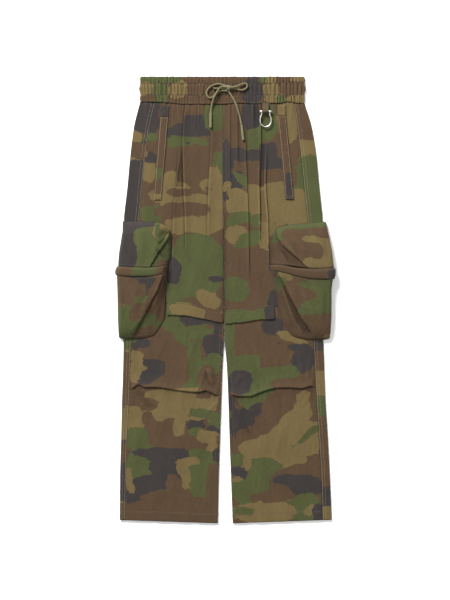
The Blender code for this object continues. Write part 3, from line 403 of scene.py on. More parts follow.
def limited_slopes(rates):
    """Slopes at the points of a line that never overshoots, from the rates between them."""
    before, after = rates[:-1], rates[1:]
    product = before * after
    total = np.where(np.abs(before + after) < 1e-12, 1.0, before + after)
    inside = np.where(product > 0, 2.0 * product / total, 0.0)
    return np.concatenate([rates[:1], inside, rates[-1:]])


def hermite(a, b, slope_a, slope_b, t):
    ends = a * (1 + 2 * t) * (1 - t) ** 2 + b * t * t * (3 - 2 * t)
    return ends + slope_a * t * (1 - t) ** 2 - slope_b * t * t * (1 - t)


def through(table, key, value):
    """Smooth function through two columns of a table. It stays level beyond the table's ends."""
    xs, ys = np.array(sorted((getattr(row, key), getattr(row, value)) for row in table), float).T
    steps = np.diff(xs)
    slopes = limited_slopes(np.diff(ys) / steps)

    def at(x):
        i = np.clip(np.searchsorted(xs, x, side="right") - 1, 0, len(steps) - 1)
        t = np.clip((x - xs[i]) / steps[i], 0.0, 1.0)
        return hermite(ys[i], ys[i + 1], steps[i] * slopes[i], steps[i] * slopes[i + 1], t)

    return at


def finer(grid, counts):
    """A grid with each of its gaps along the first side parted into that many, on smooth lines."""
    slopes = limited_slopes(np.diff(grid, axis=0))
    lines = [
        hermite(grid[i], grid[i + 1], slopes[i], slopes[i + 1], step / count)
        for i, count in enumerate(counts) for step in range(count)
    ]
    return np.array(lines + [grid[-1]])


def normals_of(grid):
    """Unit normals at the points of a grid."""
    return unit(np.cross(np.gradient(grid, axis=0), np.gradient(grid, axis=1)))


def waves(a, b, seed, pitch, count=7):
    """Smooth uneven waves over a plane, mostly between -1 and 1."""
    draw = np.random.default_rng(seed)
    total = 0.0
    for _ in range(count):
        turn, phase = draw.uniform(0.0, 2.0 * math.pi, 2)
        rate = 2.0 * math.pi / pitch * draw.uniform(0.6, 1.5)
        total = total + np.sin(rate * (a * math.cos(turn) + b * math.sin(turn)) + phase)
    return total * 0.8 / math.sqrt(count)


def beside(line, x, y, lead, tail, ease_in=0.0):
    """How far points lie to one side of a line, and how much of it shows there, as it fades in and out."""
    x0, y0, x1, y1 = line[:4]
    length = math.hypot(x1 - x0, y1 - y0)
    share = ((x - x0) * (x1 - x0) + (y - y0) * (y1 - y0)) / length ** 2
    across = ((x - x0) * (y1 - y0) - (y - y0) * (x1 - x0)) / length
    return across, ease(share / lead + ease_in) * ease((1 - share) / tail)


def ridge(crease, x, y, fade):
    """Height of a crease, as a share of its rise."""
    across, shown = beside(crease, x, y, fade, fade)
    return shown * np.exp(-((across / crease.half_width) ** 2) * 2)


SEAM_RISE = through(SEAM_LINE, "x", "rise")


def with_seam_line(x, y):
    """Moves points near the waist seam onto its uneven line."""
    reach = np.where(y < WAIST_SEAM, SEAM_REACH_DOWN, SEAM_REACH_UP)
    return y + SEAM_RISE(x) * ease(1.0 - np.abs(WAIST_SEAM - y) / reach)


# ------------------------------------------------------------------------------ legs

Gather = namedtuple("Gather", "at length rise half lean")


def gathers_between(seed, first, last, pitch, lengths, rises, halves):
    """Uneven short folds side by side along a seam."""
    draw = np.random.default_rng(seed)
    found, at = [], first
    while at < last:
        sizes = [draw.uniform(*span) for span in (lengths, rises, halves)]
        found.append(Gather(at, *sizes, draw.normal(0.0, 0.06)))
        at += pitch * draw.uniform(0.6, 1.5)
    return found


def gather_relief(gathers, along, away):
    """Height of short folds that run away from a seam and die out."""
    return sum(
        g.rise * bell(along - g.at - g.lean * away, g.half) * (1.0 - ease(np.abs(away) / g.length)) for g in gathers
    )


PLEAT_LINES = {
    side: [through(rows("w y", *zip(fold[:5], FOLD_LEVELS)), "y", "w") for fold in FOLDS[side]] for side in SIDES
}


class Leg:
    """The shape of one side of the trousers, from the waist seam to the hem."""

    def __init__(self, side):
        self.side, self.sign = side, SIDES[side]
        self.outer, self.outseam, self.inner = (through(LEG[side], "y", key) for key in ("outer", "outseam", "inner"))
        self.knee, self.flap_edge, self.tuck, self.hem = (
            through(table[side], "w", "y") for table in (KNEE_SEAM, FLAP_EDGE, KNEE_TUCK, HEM)
        )
        self.folds = list(zip(PLEAT_LINES[side], FOLDS[side]))
        seed, first, last = 40 + self.sign, self.inner(WAIST_SEAM) + 4.0, self.outer(WAIST_SEAM) - 4.0
        self.waist_gathers = gathers_between(seed, first, last, 8.5, (14, 80), (0.2, 1.3), (1.7, 4.2))
        self.tuck_gathers = gathers_between(seed + 7, *TUCK_ENDS[side], 11.0, (9, 34), (-0.5, 0.7), (2.2, 5.0))

    def bend(self, y):
        """How far the inner end of a section has turned down into a fold."""
        return ease((CROTCH_START - y) / (CROTCH_START - CROTCH_END))

    def inner_end(self, y, upward, steps):
        """Points of a wall from the middle of the inner fold, or from the centre seam, onto its flat part."""
        level = (FRONT_MID + BACK_MID) / 2 + upward * FOLD_END
        radius = abs((FRONT_MID if upward > 0 else BACK_MID) - level)
        turn = math.pi / 2 * self.bend(y)
        centre = self.inner(y) + (radius + CLOTH / 2) * np.sin(turn)
        angle = turn * (1.0 - shares(steps))
        w = centre - radius * np.sin(angle) + 1.8 * shares(steps) * (1.0 - self.bend(y))
        return w, level + upward * radius * np.cos(angle)

    def seams(self, w, y):
        """Distances from the outseam, the inner edge and the waist seam."""
        return np.abs(self.outseam(y) - w), past(w - self.inner(y)), past(WAIST_SEAM - y)

    def shown(self, fold, y, top=0.0, foot=0.0):
        """How much of a pleat there is at a level."""
        return ease((fold.start - y) / FOLD_FADE + top) * ease((y - fold.end) / FOLD_FADE + foot)

    def spans(self, y):
        """Start, crest, foot and height of every pleat at this level."""
        previous = self.inner_end(y, 1, 3)[0][-1]
        found = []
        for line, fold in self.folds:
            start = max(line(y) - fold.reach, previous + 2.0)
            previous = line(y) + PLEAT_EDGE
            found.append((start, line(y), previous, fold.rise * self.shown(fold, y)))
        return found

    def swell(self, w, y):
        """Low roll of the cloth, gone at the seams."""
        fade = ease((w - self.inner(y) - 4) / 18) * ease((self.outseam(y) - w) / 18)
        return SOFT_SWELL * fade * (0.5 - 0.5 * np.cos(2 * math.pi * (w + 0.13 * y) / SWELL_PITCH))

    def pleats(self, w, y):
        """Height of the pleats, for what lies across them."""
        total = 0.0
        for line, fold in self.folds:
            up = np.clip((w - line(y) + fold.reach) / fold.reach, 0.0, 1.0) ** 1.6
            profile = np.where(w <= line(y), up, np.clip(1.0 - (w - line(y)), 0.0, 1.0))
            total = total + fold.rise * self.shown(fold, y) * profile
        return total

    def tuck_window(self, w):
        first, last = TUCK_ENDS[self.side]
        return ease((w - first) / TUCK_FADE + 1.0) * ease((last - w) / TUCK_FADE + 1.0)

    def tuck_relief(self, w, y):
        """The cloth above the knee hangs over the cloth below it."""
        above = y - self.tuck(w)
        rise = TUCK_RISE * self.tuck_window(w) * np.clip(1.0 - above / TUCK_REACH, 0.0, 1.0) ** 1.6
        return np.where((above > -0.01) & (above < TUCK_REACH), rise, 0.0)

    def seam_relief(self, w, y):
        """The cloth dips and puckers beside its seams."""
        outseam, centre, top = self.seams(w, y)
        dips = 0.45 * fall(outseam, 1.4) + 0.45 * fall(centre, 1.4) + 0.9 * fall(top, 2.2)
        dips = dips + 0.5 * fall(np.abs(y - self.knee(w)), 1.6)
        pucker = 0.17 * (bell(outseam - 4.5, 4.0) + bell(centre - 4.5, 4.0)) * waves(y, w * 0.2, 11, 9.0)
        return pucker + 0.25 * fall(past(y - self.hem(w)), 9.0) * waves(w, y * 0.1, 5, 26.0) - dips

    def sunk(self, w, y):
        """How far a point lies inside the open foot of a pleat, from 0 to 1, and how dark its painted shade is there.
        """
        inside, dark = 0.0, 0.0
        for v in VALLEYS[self.side]:
            share = (v.top - y) / (v.top - v.foot)
            first, last = mix(v.inner_top, v.inner_foot, share), mix(v.outer_top, v.outer_foot, share)
            ends = ease(share / 0.12) * ease((1.0 - share) / 0.06)
            window = ends * ease((w - first) / 1.2 + 0.5) * ease((last - w) / 1.6 + 0.5)
            inside, dark = np.maximum(inside, window * v.depth), np.maximum(dark, window * v.dark)
        return inside, dark

    def shade(self, w, y):
        """Painted shade in the shelter of pleats and seams and along the inner fold, and a lighter line on each
        pleat's lip that is painted highlight and wear.
        """
        outseam, centre, top = self.seams(w, y)
        total = -0.20 * fall(outseam, 1.3) - 0.30 * fall(top, 2.5)
        for line, fold in self.folds:
            beyond = w - line(y)
            fade = self.shown(fold, y, 0.3, 0.2) * fold.rise / 3.0
            # Painted shade beyond each crest, under its lip, and just before the crest a painted highlight with wear
            total = total - 0.42 * fade * np.where(beyond > 0.4, bell(beyond - 1.4, 3.2), 0.0)
            total = total + 0.16 * fade * bell(beyond + 1.2, 1.6)
        return total - self.sunk(w, y)[1] - 0.5 * self.bend(y) * fall(centre, 3.5)

    def lower_shade(self, grid):
        """Painted shade under the knee tuck, beside the seams and where the pocket overhangs, and painted highlights
        on the tuck's lip and beside its sharp creases.
        """
        w, y = self.sign * grid[..., 0], grid[..., 1]
        below, window = self.tuck(w) - y, self.tuck_window(w)
        dark = 0.3 * window * np.where(below > -1.5, fall(np.abs(below - 0.5), 2.6), 0.0)
        dark = dark + 0.16 * window * np.where(below > 0, fall(below, 9.0), 0.0)
        dark = dark + 0.25 * fall(self.seams(w, y)[0], 1.3) + 0.3 * fall(past(self.knee(w) - y), 2.0)
        for hollow in HOLLOWS[self.side]:
            reach = np.hypot((w - hollow.w) / hollow.half_w, (y - hollow.y) / hollow.half_y)
            dark = dark + hollow.dark * bell(reach, 1.0)
        tone = 0.12 * window * np.where(below < 0, bell(below + 7.0, 6.0), 0.0) - dark
        for edge in KNEE_EDGES[self.side]:
            across, shown = beside(edge, w, y, 0.2, 0.25, 0.3)
            into, strength = -edge.dark_side * across, edge.dark * shown
            tone = tone - strength * np.where(into > -0.6, np.exp(-(past(into) / edge.reach) ** 1.3), 0.0)
            tone = tone + 0.4 * strength * bell(into + 2.2, 1.6)
        return tone

    def detail(self, w, y):
        """All low forms of the cloth that are finer than its pleats and its tuck."""
        total = 0.32 * waves(w, y * 0.35, 21 + self.sign, 38.0) + 0.14 * waves(w, y * 0.6, 31 + self.sign, 15.0)
        lower, above = ease((self.knee(w) - y) / 8.0), y - self.tuck(w)
        total = total + gather_relief(self.waist_gathers, w, WAIST_SEAM - y) * (1.0 - lower)
        total = total + gather_relief(self.tuck_gathers, w, above) * lower * ease(np.abs(above) / 3.0 + 0.35)
        total = total + sum(crease.rise * ridge(crease, w, y, 0.25) for crease in CREASES[self.side])
        return total * ease((w - self.inner(y)) / 6.0) + self.seam_relief(w, y)

    def front(self, w, y):
        """Height of the middle of the front wall."""
        return FRONT_MID + self.swell(w, y) + self.pleats(w, y) + self.tuck_relief(w, y) + self.detail(w, y)

    def strip(self, w, y):
        """Height of the strip of the back that shows beside the outseam."""
        seam, _, top = self.seams(w, y)
        soft = 0.2 * waves(w, y * 0.5, 71 + self.sign, 30.0) + 0.16 * fall(seam, 6.0) * waves(y, w * 0.3, 81, 10.0)
        return soft + gather_relief(self.waist_gathers, w, top) - 0.45 * fall(seam, 1.4) - 0.9 * fall(top, 2.2)

    def place(self, w, y, z):
        x = self.sign * w
        return np.stack(np.broadcast_arrays(x, with_seam_line(x, y), z), axis=-1)


def upper_lines(leg, count):
    """Levels down the upper leg, each a function of w."""
    return [lambda w, s=s: mix(WAIST_SEAM - GAP / 2, leg.knee(w) + ZIP_GAP / 2, s) for s in shares(count)]


def lower_lines(leg, thigh, tuck, shin):
    """Levels down the lower leg: a function of w for y, and the share of the tuck's height under its edge."""
    lines = [
        (lambda w, s=s: mix(leg.knee(w) - ZIP_GAP / 2, leg.tuck(w) + TUCK_REACH, s), None)
        for s in shares(thigh + 1)[:-1]
    ]
    lines += [(lambda w, s=s: leg.tuck(w) + TUCK_REACH * s, None) for s in shares(tuck)[::-1]]
    lines += [
        (lambda w, above=above: leg.tuck(w) + mix(-1.2, above, leg.tuck_window(w)), share)
        for above, share in TUCK_TURN
    ]
    return lines + [(lambda w, s=s: mix(leg.tuck(w) - TUCK_EDGE, leg.hem(w), s), None) for s in shares(shin)]


STEP = 2.0  # between the columns of a front
INNER_STEPS = 5
INNER_SIDE, OUTER_SIDE = 12.0, 210.0  # where a line's level is read for its two ends
UPPER_ROWS, BACK_UPPER_ROWS = 215, 150
LOWER_ROWS, BACK_LOWER_ROWS, LOWER_COLUMNS = (66, 20, 132), (40, 9, 90), 96  # above the tuck, on it and below it


def column_counts(leg):
    """Columns in each stretch between two pleats, and up each pleat."""
    counts = []
    samples = [leg.spans(y) for y in np.linspace(450.0, -10.0, 24)]
    for k in range(len(leg.folds)):
        before = max(s[k][0] - (s[k - 1][2] if k else leg.inner(0.0)) for s in samples)
        up = max(s[k][1] - s[k][0] for s in samples)
        counts.append((max(2, math.ceil(before / STEP)), max(5, math.ceil(up / STEP * 1.3))))
    last = max(leg.outseam(0.0) - s[-1][2] for s in samples)
    return counts, math.ceil(last / STEP)


def front_place(leg, w, y, z):
    """A front's points, with its first columns bent into the inner fold."""
    for i in range(len(w)):
        z[i, :INNER_STEPS] = leg.inner_end(y[i, 0], 1, INNER_STEPS)[1]
    return leg.place(w, y, z)


def front_upper_grid(leg, count):
    """The upper front, with each pleat folded over its own under-layer, and its painted shade and highlights."""
    counts, tail = column_counts(leg)
    ws, rises, ys = [], [], []
    for line in upper_lines(leg, count):
        level = line(INNER_SIDE)
        *start, previous = leg.inner_end(level, 1, INNER_STEPS)[0]
        row_w, row_rise = [start], [np.zeros(INNER_STEPS - 1)]
        for (start, crest, foot, height), (before, up) in zip(leg.spans(level), counts):
            over = min(height, 1.0)
            turn = crest + np.array([mix(0.5, 0.22, over), mix(0.9, -0.5, over), mix(1.3, -1.2, over), 1.6])
            row_w += [np.linspace(previous, start, before, endpoint=False), mix(start, crest, shares(up)), turn]
            row_rise += [np.zeros(before), height * shares(up) ** 1.7, height * np.array([0.75, 0.35, 0.04, 0.0])]
            previous = foot
        row_w.append(np.linspace(previous, leg.outseam(line(OUTER_SIDE)) - GAP / 2, tail))
        ws.append(np.concatenate(row_w))
        ys.append(line(ws[-1]))
        rises.append(np.concatenate(row_rise + [np.zeros(tail)]))
    w, y, rise = np.array(ws), np.array(ys), np.array(rises)
    z = mix(FRONT_MID + rise + leg.swell(w, y) + leg.detail(w, y), FRONT_MID - 0.5, leg.sunk(w, y)[0])
    return front_place(leg, w, y, z), leg.shade(w, y)


def front_lower_grid(leg, thigh, tuck, shin, columns):
    ws, ys, turns = [], [], []
    for line, share in lower_lines(leg, thigh, tuck, shin):
        *start, first = leg.inner_end(line(INNER_SIDE), 1, INNER_STEPS)[0]
        ws.append(np.append(start, np.linspace(first, leg.outseam(line(OUTER_SIDE)) - GAP / 2, columns)))
        ys.append(line(ws[-1]))
        turns.append(share)
    w, y = np.array(ws), np.array(ys)
    hang = leg.tuck_relief(w, y)
    for i, share in enumerate(turns):
        if share is not None:
            hang[i] = TUCK_RISE * leg.tuck_window(w[i]) * share
    return front_place(leg, w, y, FRONT_MID + leg.swell(w, y) + leg.detail(w, y) + hang)


BACK_COLUMNS, FOLD_STEPS, STRIP_COLUMNS = 26, 8, 15


def back_grid(leg, lines):
    """A back panel: along the back, round the outer fold and on to the outseam at the front."""
    ws, ys, zs = [], [], []
    for line in lines:
        w_in, z_in = leg.inner_end(line(INNER_SIDE), -1, 4)
        level = line(OUTER_SIDE)
        turn = leg.outer(level) - CLOTH / 2 - FOLD_RADIUS
        angle = np.linspace(0.0, math.pi, FOLD_STEPS + 1)
        flat = np.linspace(w_in[-1], turn, BACK_COLUMNS)[1:-1]
        strip = np.linspace(turn, leg.outseam(level) + GAP / 2, STRIP_COLUMNS)[1:]
        ws.append(np.concatenate([w_in, flat, turn + FOLD_RADIUS * np.sin(angle), strip]))
        ys.append(line(ws[-1]))
        fold = BACK_MID + FOLD_RADIUS * (1 - np.cos(angle))
        zs.append(np.concatenate([z_in, 0.0 * flat + BACK_MID, fold, 0.0 * strip + FRONT_MID]))
    w, y, z = np.array(ws), np.array(ys), np.array(zs)
    inner, outer = leg.inner(y), leg.outer(y)
    flat_side = ease(FRONT_MID - 1.5 - z) * ease((outer - w) / 14.0) * ease((w - inner) / 14.0)
    shallow = 0.5 + 0.5 * waves(w, y * 0.4, 61 + leg.sign, 60.0)
    z = z + flat_side * (0.55 * shallow + 0.35 * bell(w - 0.5 * (inner + outer), 5.0))
    return leg.place(w, y, np.where(z > FRONT_MID - 0.6, z + leg.strip(w, y) * ease((outer - w - 1.5) / 4.0), z))


def storm_flap_grid(leg, count, columns):
    """The strip that covers the zip-off seam, sewn on above it and loose below it."""
    share = shares(count)[:, None]
    w = np.linspace(leg.inner(-30.0) + FLAP_INSET, FLAP_OUTER[leg.side], columns)[None, :]
    edge = leg.flap_edge(w) + 0.5 * waves(w, 0.0 * w, 91 + leg.sign, 21.0) * share
    y = mix(leg.knee(w) + FLAP_ABOVE, edge, share)
    w = w + 0.0 * y
    hang = FLAP_LIFT * ease((share - 0.2) / 0.8) * (1.0 + 0.4 * waves(w, 0.0 * w, 95 + leg.sign, 30.0))
    roll = 0.35 * bell(share - 0.17, 0.05) + 0.5 * fall(1.0 - share, 0.04)
    return leg.place(w, y, leg.front(w, y) + LAYER + hang - roll + 0.12 * waves(w, y, 97, 9.0))


def strip_place(strip, across, down):
    """A point of a strip, by its shares across and down."""
    inner, outer = mix(strip.top_in, strip.foot_in, down), mix(strip.top_out, strip.foot_out, down)
    return mix(inner, outer, across), mix(strip.top_y, strip.foot_y, down)


def strip_grid(leg, strip, count, columns):
    """A flat strip on the front, made from the front's own points moved out."""
    share, across = shares(count)[:, None], shares(columns)[None, :]
    w, y = strip_place(strip, across, share)
    y = y + 0.0 * w
    edge = np.minimum(across, 1.0 - across) * 18.0
    ends = np.minimum(share, 1.0 - share) * abs(strip.top_y - strip.foot_y)
    crown = 0.5 * ease(edge / 5.0) - 0.45 * fall(edge, 1.0) - 0.45 * fall(ends, 1.2) - 0.3 * bell(edge - 2.2, 0.8)
    return leg.place(w, y, leg.front(w, y) + LAYER + crown + 0.15 * waves(y, w, 15 + leg.sign, 13.0))


# ------------------------------------------------------------------------------ pockets


class Pocket:
    """A bellows pocket that stands off the outside of one leg and wraps round its outer fold."""

    def __init__(self, leg):
        self.leg, side = leg, leg.side
        self.inner, self.outer = (through(POCKET[side], "y", key) for key in ("inner", "outer"))
        self.flap_lip, self.pouch_lip = (through(table[side], "y", "w") for table in (FLAP_LIP, POUCH_LIP))
        self.top, self.band_top, self.band_foot, self.foot = (
            through(table, "share", side) for table in (POCKET_TOP, BAND_TOP, BAND_FOOT, POUCH_FOOT)
        )

    def section(self, line, lip_line, row, proud=0.0, wall=CLOTH):
        """One row of a pocket piece, from its inner edge on the leg to its outer edge under the fold."""
        base = FRONT_MID + CLOTH / 2 + GAP + wall / 2 + 0.35
        y_in, y_mid, y_out = line(0.0), line(0.4), line(1.0)
        inner = self.inner(y_in) + wall / 2
        lip = max(lip_line(y_mid), inner + 5.0)
        side = self.leg.outer(y_out)
        outer = max(self.outer(y_out) - wall / 2 + proud, side + wall / 2 + 1.6)
        shoulder = outer - POCKET_SHOULDER * mix(0.35, 1.0, row.fullness)
        drop, under = LIP_DROP * row.lip, LIP_TURN * row.lip
        face = POCKET_DEPTH * row.fullness + proud
        edge = face * mix(0.75, 0.92, row.plump)
        gusset = min(mix(GUSSET_DEPTH * row.fullness, edge, row.plump), edge - drop) + proud * (1 - row.plump)
        stations = [
            (inner, base + proud * 0.3),
            (mix(inner, lip, mix(0.4, 0.16, row.plump)), base + gusset * mix(0.5, 0.6, row.plump)),
            (mix(inner, lip, mix(0.75, 0.45, row.plump)), base + gusset * mix(0.85, 0.92, row.plump)),
            (lip - LIP_EDGE / 2 + under, base + gusset),
            (lip + under * 0.7, base + gusset + drop * 0.3),
            (lip + LIP_EDGE / 2 - under * 0.6, base + gusset + drop),
            (mix(lip, shoulder, 0.3), base + mix(edge, face, 0.7)),
            (mix(lip, shoulder, 0.65), base + face),
            (shoulder, base + face * 0.9),
            (mix(shoulder, outer, 0.75), base + face * 0.62),
            (outer, mix(base - 2.6, base + face * 0.1, 0.5)),
            (mix(side, outer, 0.75), 1.6 + (wall - CLOTH) / 2),
            (side + wall / 2 + 0.2, 1.15 + (wall - CLOTH) / 2),
        ]
        width = outer - inner
        return [(self.leg.sign * w, line(min(max((w - inner) / width, 0.0), 1.0)), z) for w, z in stations]

    def finished(self, sections, down):
        """A piece's grid with finer steps both ways."""
        grid = finer(np.array(sections, float), down).transpose(1, 0, 2)
        return finer(grid, POCKET_ACROSS).transpose(1, 0, 2)

    def piece(self, table, down, top, foot, lip_line):
        """The flap or the pouch."""
        return self.finished([
            self.section(lambda u, s=row.share: mix(top(u), foot(u), s), lip_line, row) for row in table
        ], down)

    def flap(self):
        return self.piece(FLAP_ROWS, FLAP_DOWN, self.top, lambda u: self.band_top(u) + POCKET_GAP, self.flap_lip)

    def pouch(self):
        return self.piece(POUCH_ROWS, POUCH_DOWN, lambda u: self.band_foot(u) - POCKET_GAP, self.foot, self.pouch_lip)

    def band(self):
        plain = rows("share fullness plump lip", (0, 1, 1, 0))[0]
        lip = lambda y: self.inner(y) + POCKET_BAND_LIP
        grid = np.array([
            self.section(
                lambda u, s=s: mix(self.band_top(u), self.band_foot(u), s), lip, plain, proud, POCKET_BAND_THICK
            )
            for s, proud in POCKET_BAND_ROWS
        ], float)
        grid[:, 9:12, 0] += self.leg.sign * BAND_BULGE * np.array([0.6, 1.0, 0.6])
        return self.finished(grid, BAND_DOWN)


def pocket_relief(grid, leg, creases):
    """Soft creases and puckers of a pocket, raised along its surface, and painted shade in their troughs and a
    painted highlight on their ridges.
    """
    x, y = grid[..., 0], grid[..., 1]
    normal = normals_of(grid)
    normal *= np.sign(normal[grid.shape[0] // 2, grid.shape[1] // 2, 2])
    total = 0.45 * waves(x, y * 0.6, 51 + leg.sign, 34.0) + 0.2 * waves(x, y, 53 + leg.sign, 14.0)
    marks = 0.0
    for crease in creases:
        height = crease.rise * ridge(crease, x, y, 0.3)
        # Painted shade in a trough, painted highlight on a ridge
        total, marks = total + height, marks + (0.06 if crease.rise > 0 else 0.16) * height
    down, across = shares(grid.shape[0])[:, None], shares(grid.shape[1])[None, :]
    fade = ease(np.minimum(down, 1 - down) / 0.08) * ease(across / 0.06) * ease((0.82 - across) / 0.1)
    return grid + normal * (total * fade)[..., None], marks * fade


def pocket_shade(grid, table, down, lip_dark):
    """Painted shade in the bellows beside the lip, where its foot meets the leg, round the outer side and along its
    first and last rows, and a painted highlight on the face past the lip.
    """
    steps = np.concatenate([[0], np.cumsum(POCKET_ACROSS)])
    row, column = np.arange(grid.shape[0]), np.arange(grid.shape[1])
    lip = np.interp(row, np.concatenate([[0], np.cumsum(down)]), [each.lip for each in table])
    near = np.where(column <= steps[4], fall(steps[4] - column, 6.5), fall(column - steps[4], 1.2))
    foot = fall(column, 3.0) + fall(past(steps[-2] - column), 3.0)
    edge = fall(row[::-1], 2.0) + fall(row, 2.0)
    across = 0.12 * bell(column - steps[5] - 3, 3.0) - lip_dark * near
    return across * (0.35 + 0.65 * lip)[:, None] - 0.22 * foot - 0.14 * edge[:, None]


# The second fold of the left pocket's gusset. The cloth between it and the lip is sunk and takes painted shade.
LEFT_SHELTER = through(rows("y x", (40, 129), (29.7, 133), (10, 140), (-21, 150), (-45, 160), (-68, 176)), "y", "x")


def left_shelter(grid, pocket):
    """The fold beside the lip of the left pocket's pouch, sunk, with its painted shade and a painted highlight beside
    it.
    """
    x, y = grid[..., 0], grid[..., 1]
    ends = ease((46.0 - y) / 14.0) * ease((y + 84.0) / 14.0)
    inside = ends * ease((x - LEFT_SHELTER(y)) / 2.4 + 0.5) * ease((pocket.pouch_lip(y) + 1.0 - x) / 2.0 + 0.5)
    grid[..., 2] -= 1.2 * inside
    return -0.18 * inside + 0.1 * ends * bell(x - LEFT_SHELTER(y) + 2.6, 2.2)


def flap_corner_grid(flap):
    """The upper inner corner of the right pocket's flap, which has folded back over its face, and its painted shade,
    with a painted highlight round its edge.
    """
    a, b = shares(CORNER_STEPS)[:, None, None], shares(CORNER_STEPS)[None, :, None]
    corner = np.array(FLAP_CORNER)
    place = mix(mix(corner[0, 0], corner[0, 1], b), mix(corner[1, 0], corner[1, 1], b), a)
    bow = 2.2 * np.sin(math.pi * a) * (b - 0.5) + 0.8 * np.sin(3 * math.pi * a + 1.0) * b
    place = place + bow * np.array([0.8, -0.6])
    x, y, z = flap.reshape(-1, 3).T
    weight = bell(np.hypot(place[..., 0, None] - x, place[..., 1, None] - y), 3.5) * np.exp(z * 0.35)
    level = (weight * z).sum(-1) / weight.sum(-1)
    a, b = a[..., 0], b[..., 0]
    rolled = 1.8 * np.sqrt(np.clip(np.sin(math.pi * np.clip(a, 0.02, 0.98)), 0, 1))
    rolled = rolled * (0.4 + 0.6 * np.sin(math.pi * b))
    z = np.maximum(level, level.max() - 1.5 - 5.0 * ease((b - 0.45) / 0.55)) + 0.9 + rolled
    grid = np.dstack([place, z])
    edge = np.minimum(np.minimum(a, 1 - a), np.minimum(b, 1 - b))
    return grid, tone_of(grid, strength=0.03) + 0.22 * fall(edge, 0.05)


# ------------------------------------------------------------------------------ waistband


def waist_folds(seed, pitch):
    """Uneven upright gathers across the waistband."""
    draw = np.random.default_rng(seed)
    drawn = through(WAIST_DRAWN, "x", "strength")
    at, found = -192.0, []
    while at < 182.0:
        rise = float(drawn(at)) * draw.uniform(0.3, 1.15)
        found.append((at, rise, draw.uniform(0.24, 0.4) * pitch, draw.normal(0.0, 0.05)))
        at += pitch * draw.uniform(0.62, 1.5)
    return found


UPPER_FOLDS, MIDDLE_FOLDS, LOWER_FOLDS = waist_folds(3, 5.8), waist_folds(4, 7.8), waist_folds(5, 5.6)


def waist_relief(x, y):
    """Gathers of the three zones between the waistband's stitched channels, and the dips of its stitching."""
    def folds_at(folds, away):
        return sum(rise * bell(x - at - lean * away, half) for at, rise, half, lean in folds)

    upper, lower = CHANNELS
    top, foot = ease((y - upper) / 3.0), ease((lower - y) / 3.0)
    total = top * folds_at(UPPER_FOLDS, y - upper) * 0.95 + foot * folds_at(LOWER_FOLDS, y - lower) * 0.95
    total = total + (1.0 - top) * (1.0 - foot) * folds_at(MIDDLE_FOLDS, y - 484.0) * 1.2
    total = total - 0.55 * (bell(y - upper, 1.3) + bell(y - lower, 1.3))
    return total * 1.15 - 0.9 * fall(WAIST_TOP - y, 2.0) - 0.8 * fall(y - WAIST_SEAM, 2.0)


def waistband_grid(count):
    """Rings of points from the top of the waistband down to its seam, closed round both walls."""
    right, left = (through(WAIST_SIDES, "y", side) for side in SIDES)
    low, high = BAND_WALL / 2, BAND_HEIGHT - BAND_WALL / 2
    radius = (high - low) / 2
    angle = np.linspace(0.0, math.pi, WAIST_TURN + 1)[1:-1]
    grid = []
    for y in np.linspace(WAIST_TOP, WAIST_SEAM + GAP / 2, count):
        left_end, right_end = left(y) - BAND_WALL / 2 - radius, -right(y) + BAND_WALL / 2 + radius
        x = np.linspace(right_end, left_end, WAIST_COLUMNS)
        crown = ease((y - 509.0) / 5.0)
        top_line = np.minimum(y + 1.1 * waves(x, 0.0, 8, 11.0) * crown - 0.6 * crown, WAIST_TOP)
        foot_line = 0.7 * waves(x, 0.0, 9, 14.0) * ease((457.0 - y) / 4.0)
        fade = ease(np.minimum(x - right_end, left_end - x) / 9.0)
        z = high + np.minimum(waist_relief(x, y), GATHER_RISE) * fade
        front = np.stack([x, top_line + foot_line * 0.5, z], -1)
        turn = np.stack([radius * np.sin(angle), 0.0 * angle + y, low + radius * (1 + np.cos(angle))], -1)
        x = np.linspace(left_end, right_end, WAIST_BACK)
        bulge = np.clip(waist_relief(x * 0.97, y), -0.3, 1.2) * ease(np.minimum(x - right_end, left_end - x) / 9)
        back = np.stack([x, 0.0 * x + y, low + 0.35 * np.abs(bulge)], -1)
        behind = turn[::-1] * [-1.0, 1.0, 1.0] + [right_end, 0.0, 0.0]
        row = np.concatenate([front, turn + [left_end, 0.0, 0.0], back, behind])
        row[:, 1] = with_seam_line(row[:, 0], row[:, 1])
        grid.append(row)
    return np.array(grid)


# ------------------------------------------------------------------------------ camouflage

GREEN, BROWN, TAN, BLACK = range(4)
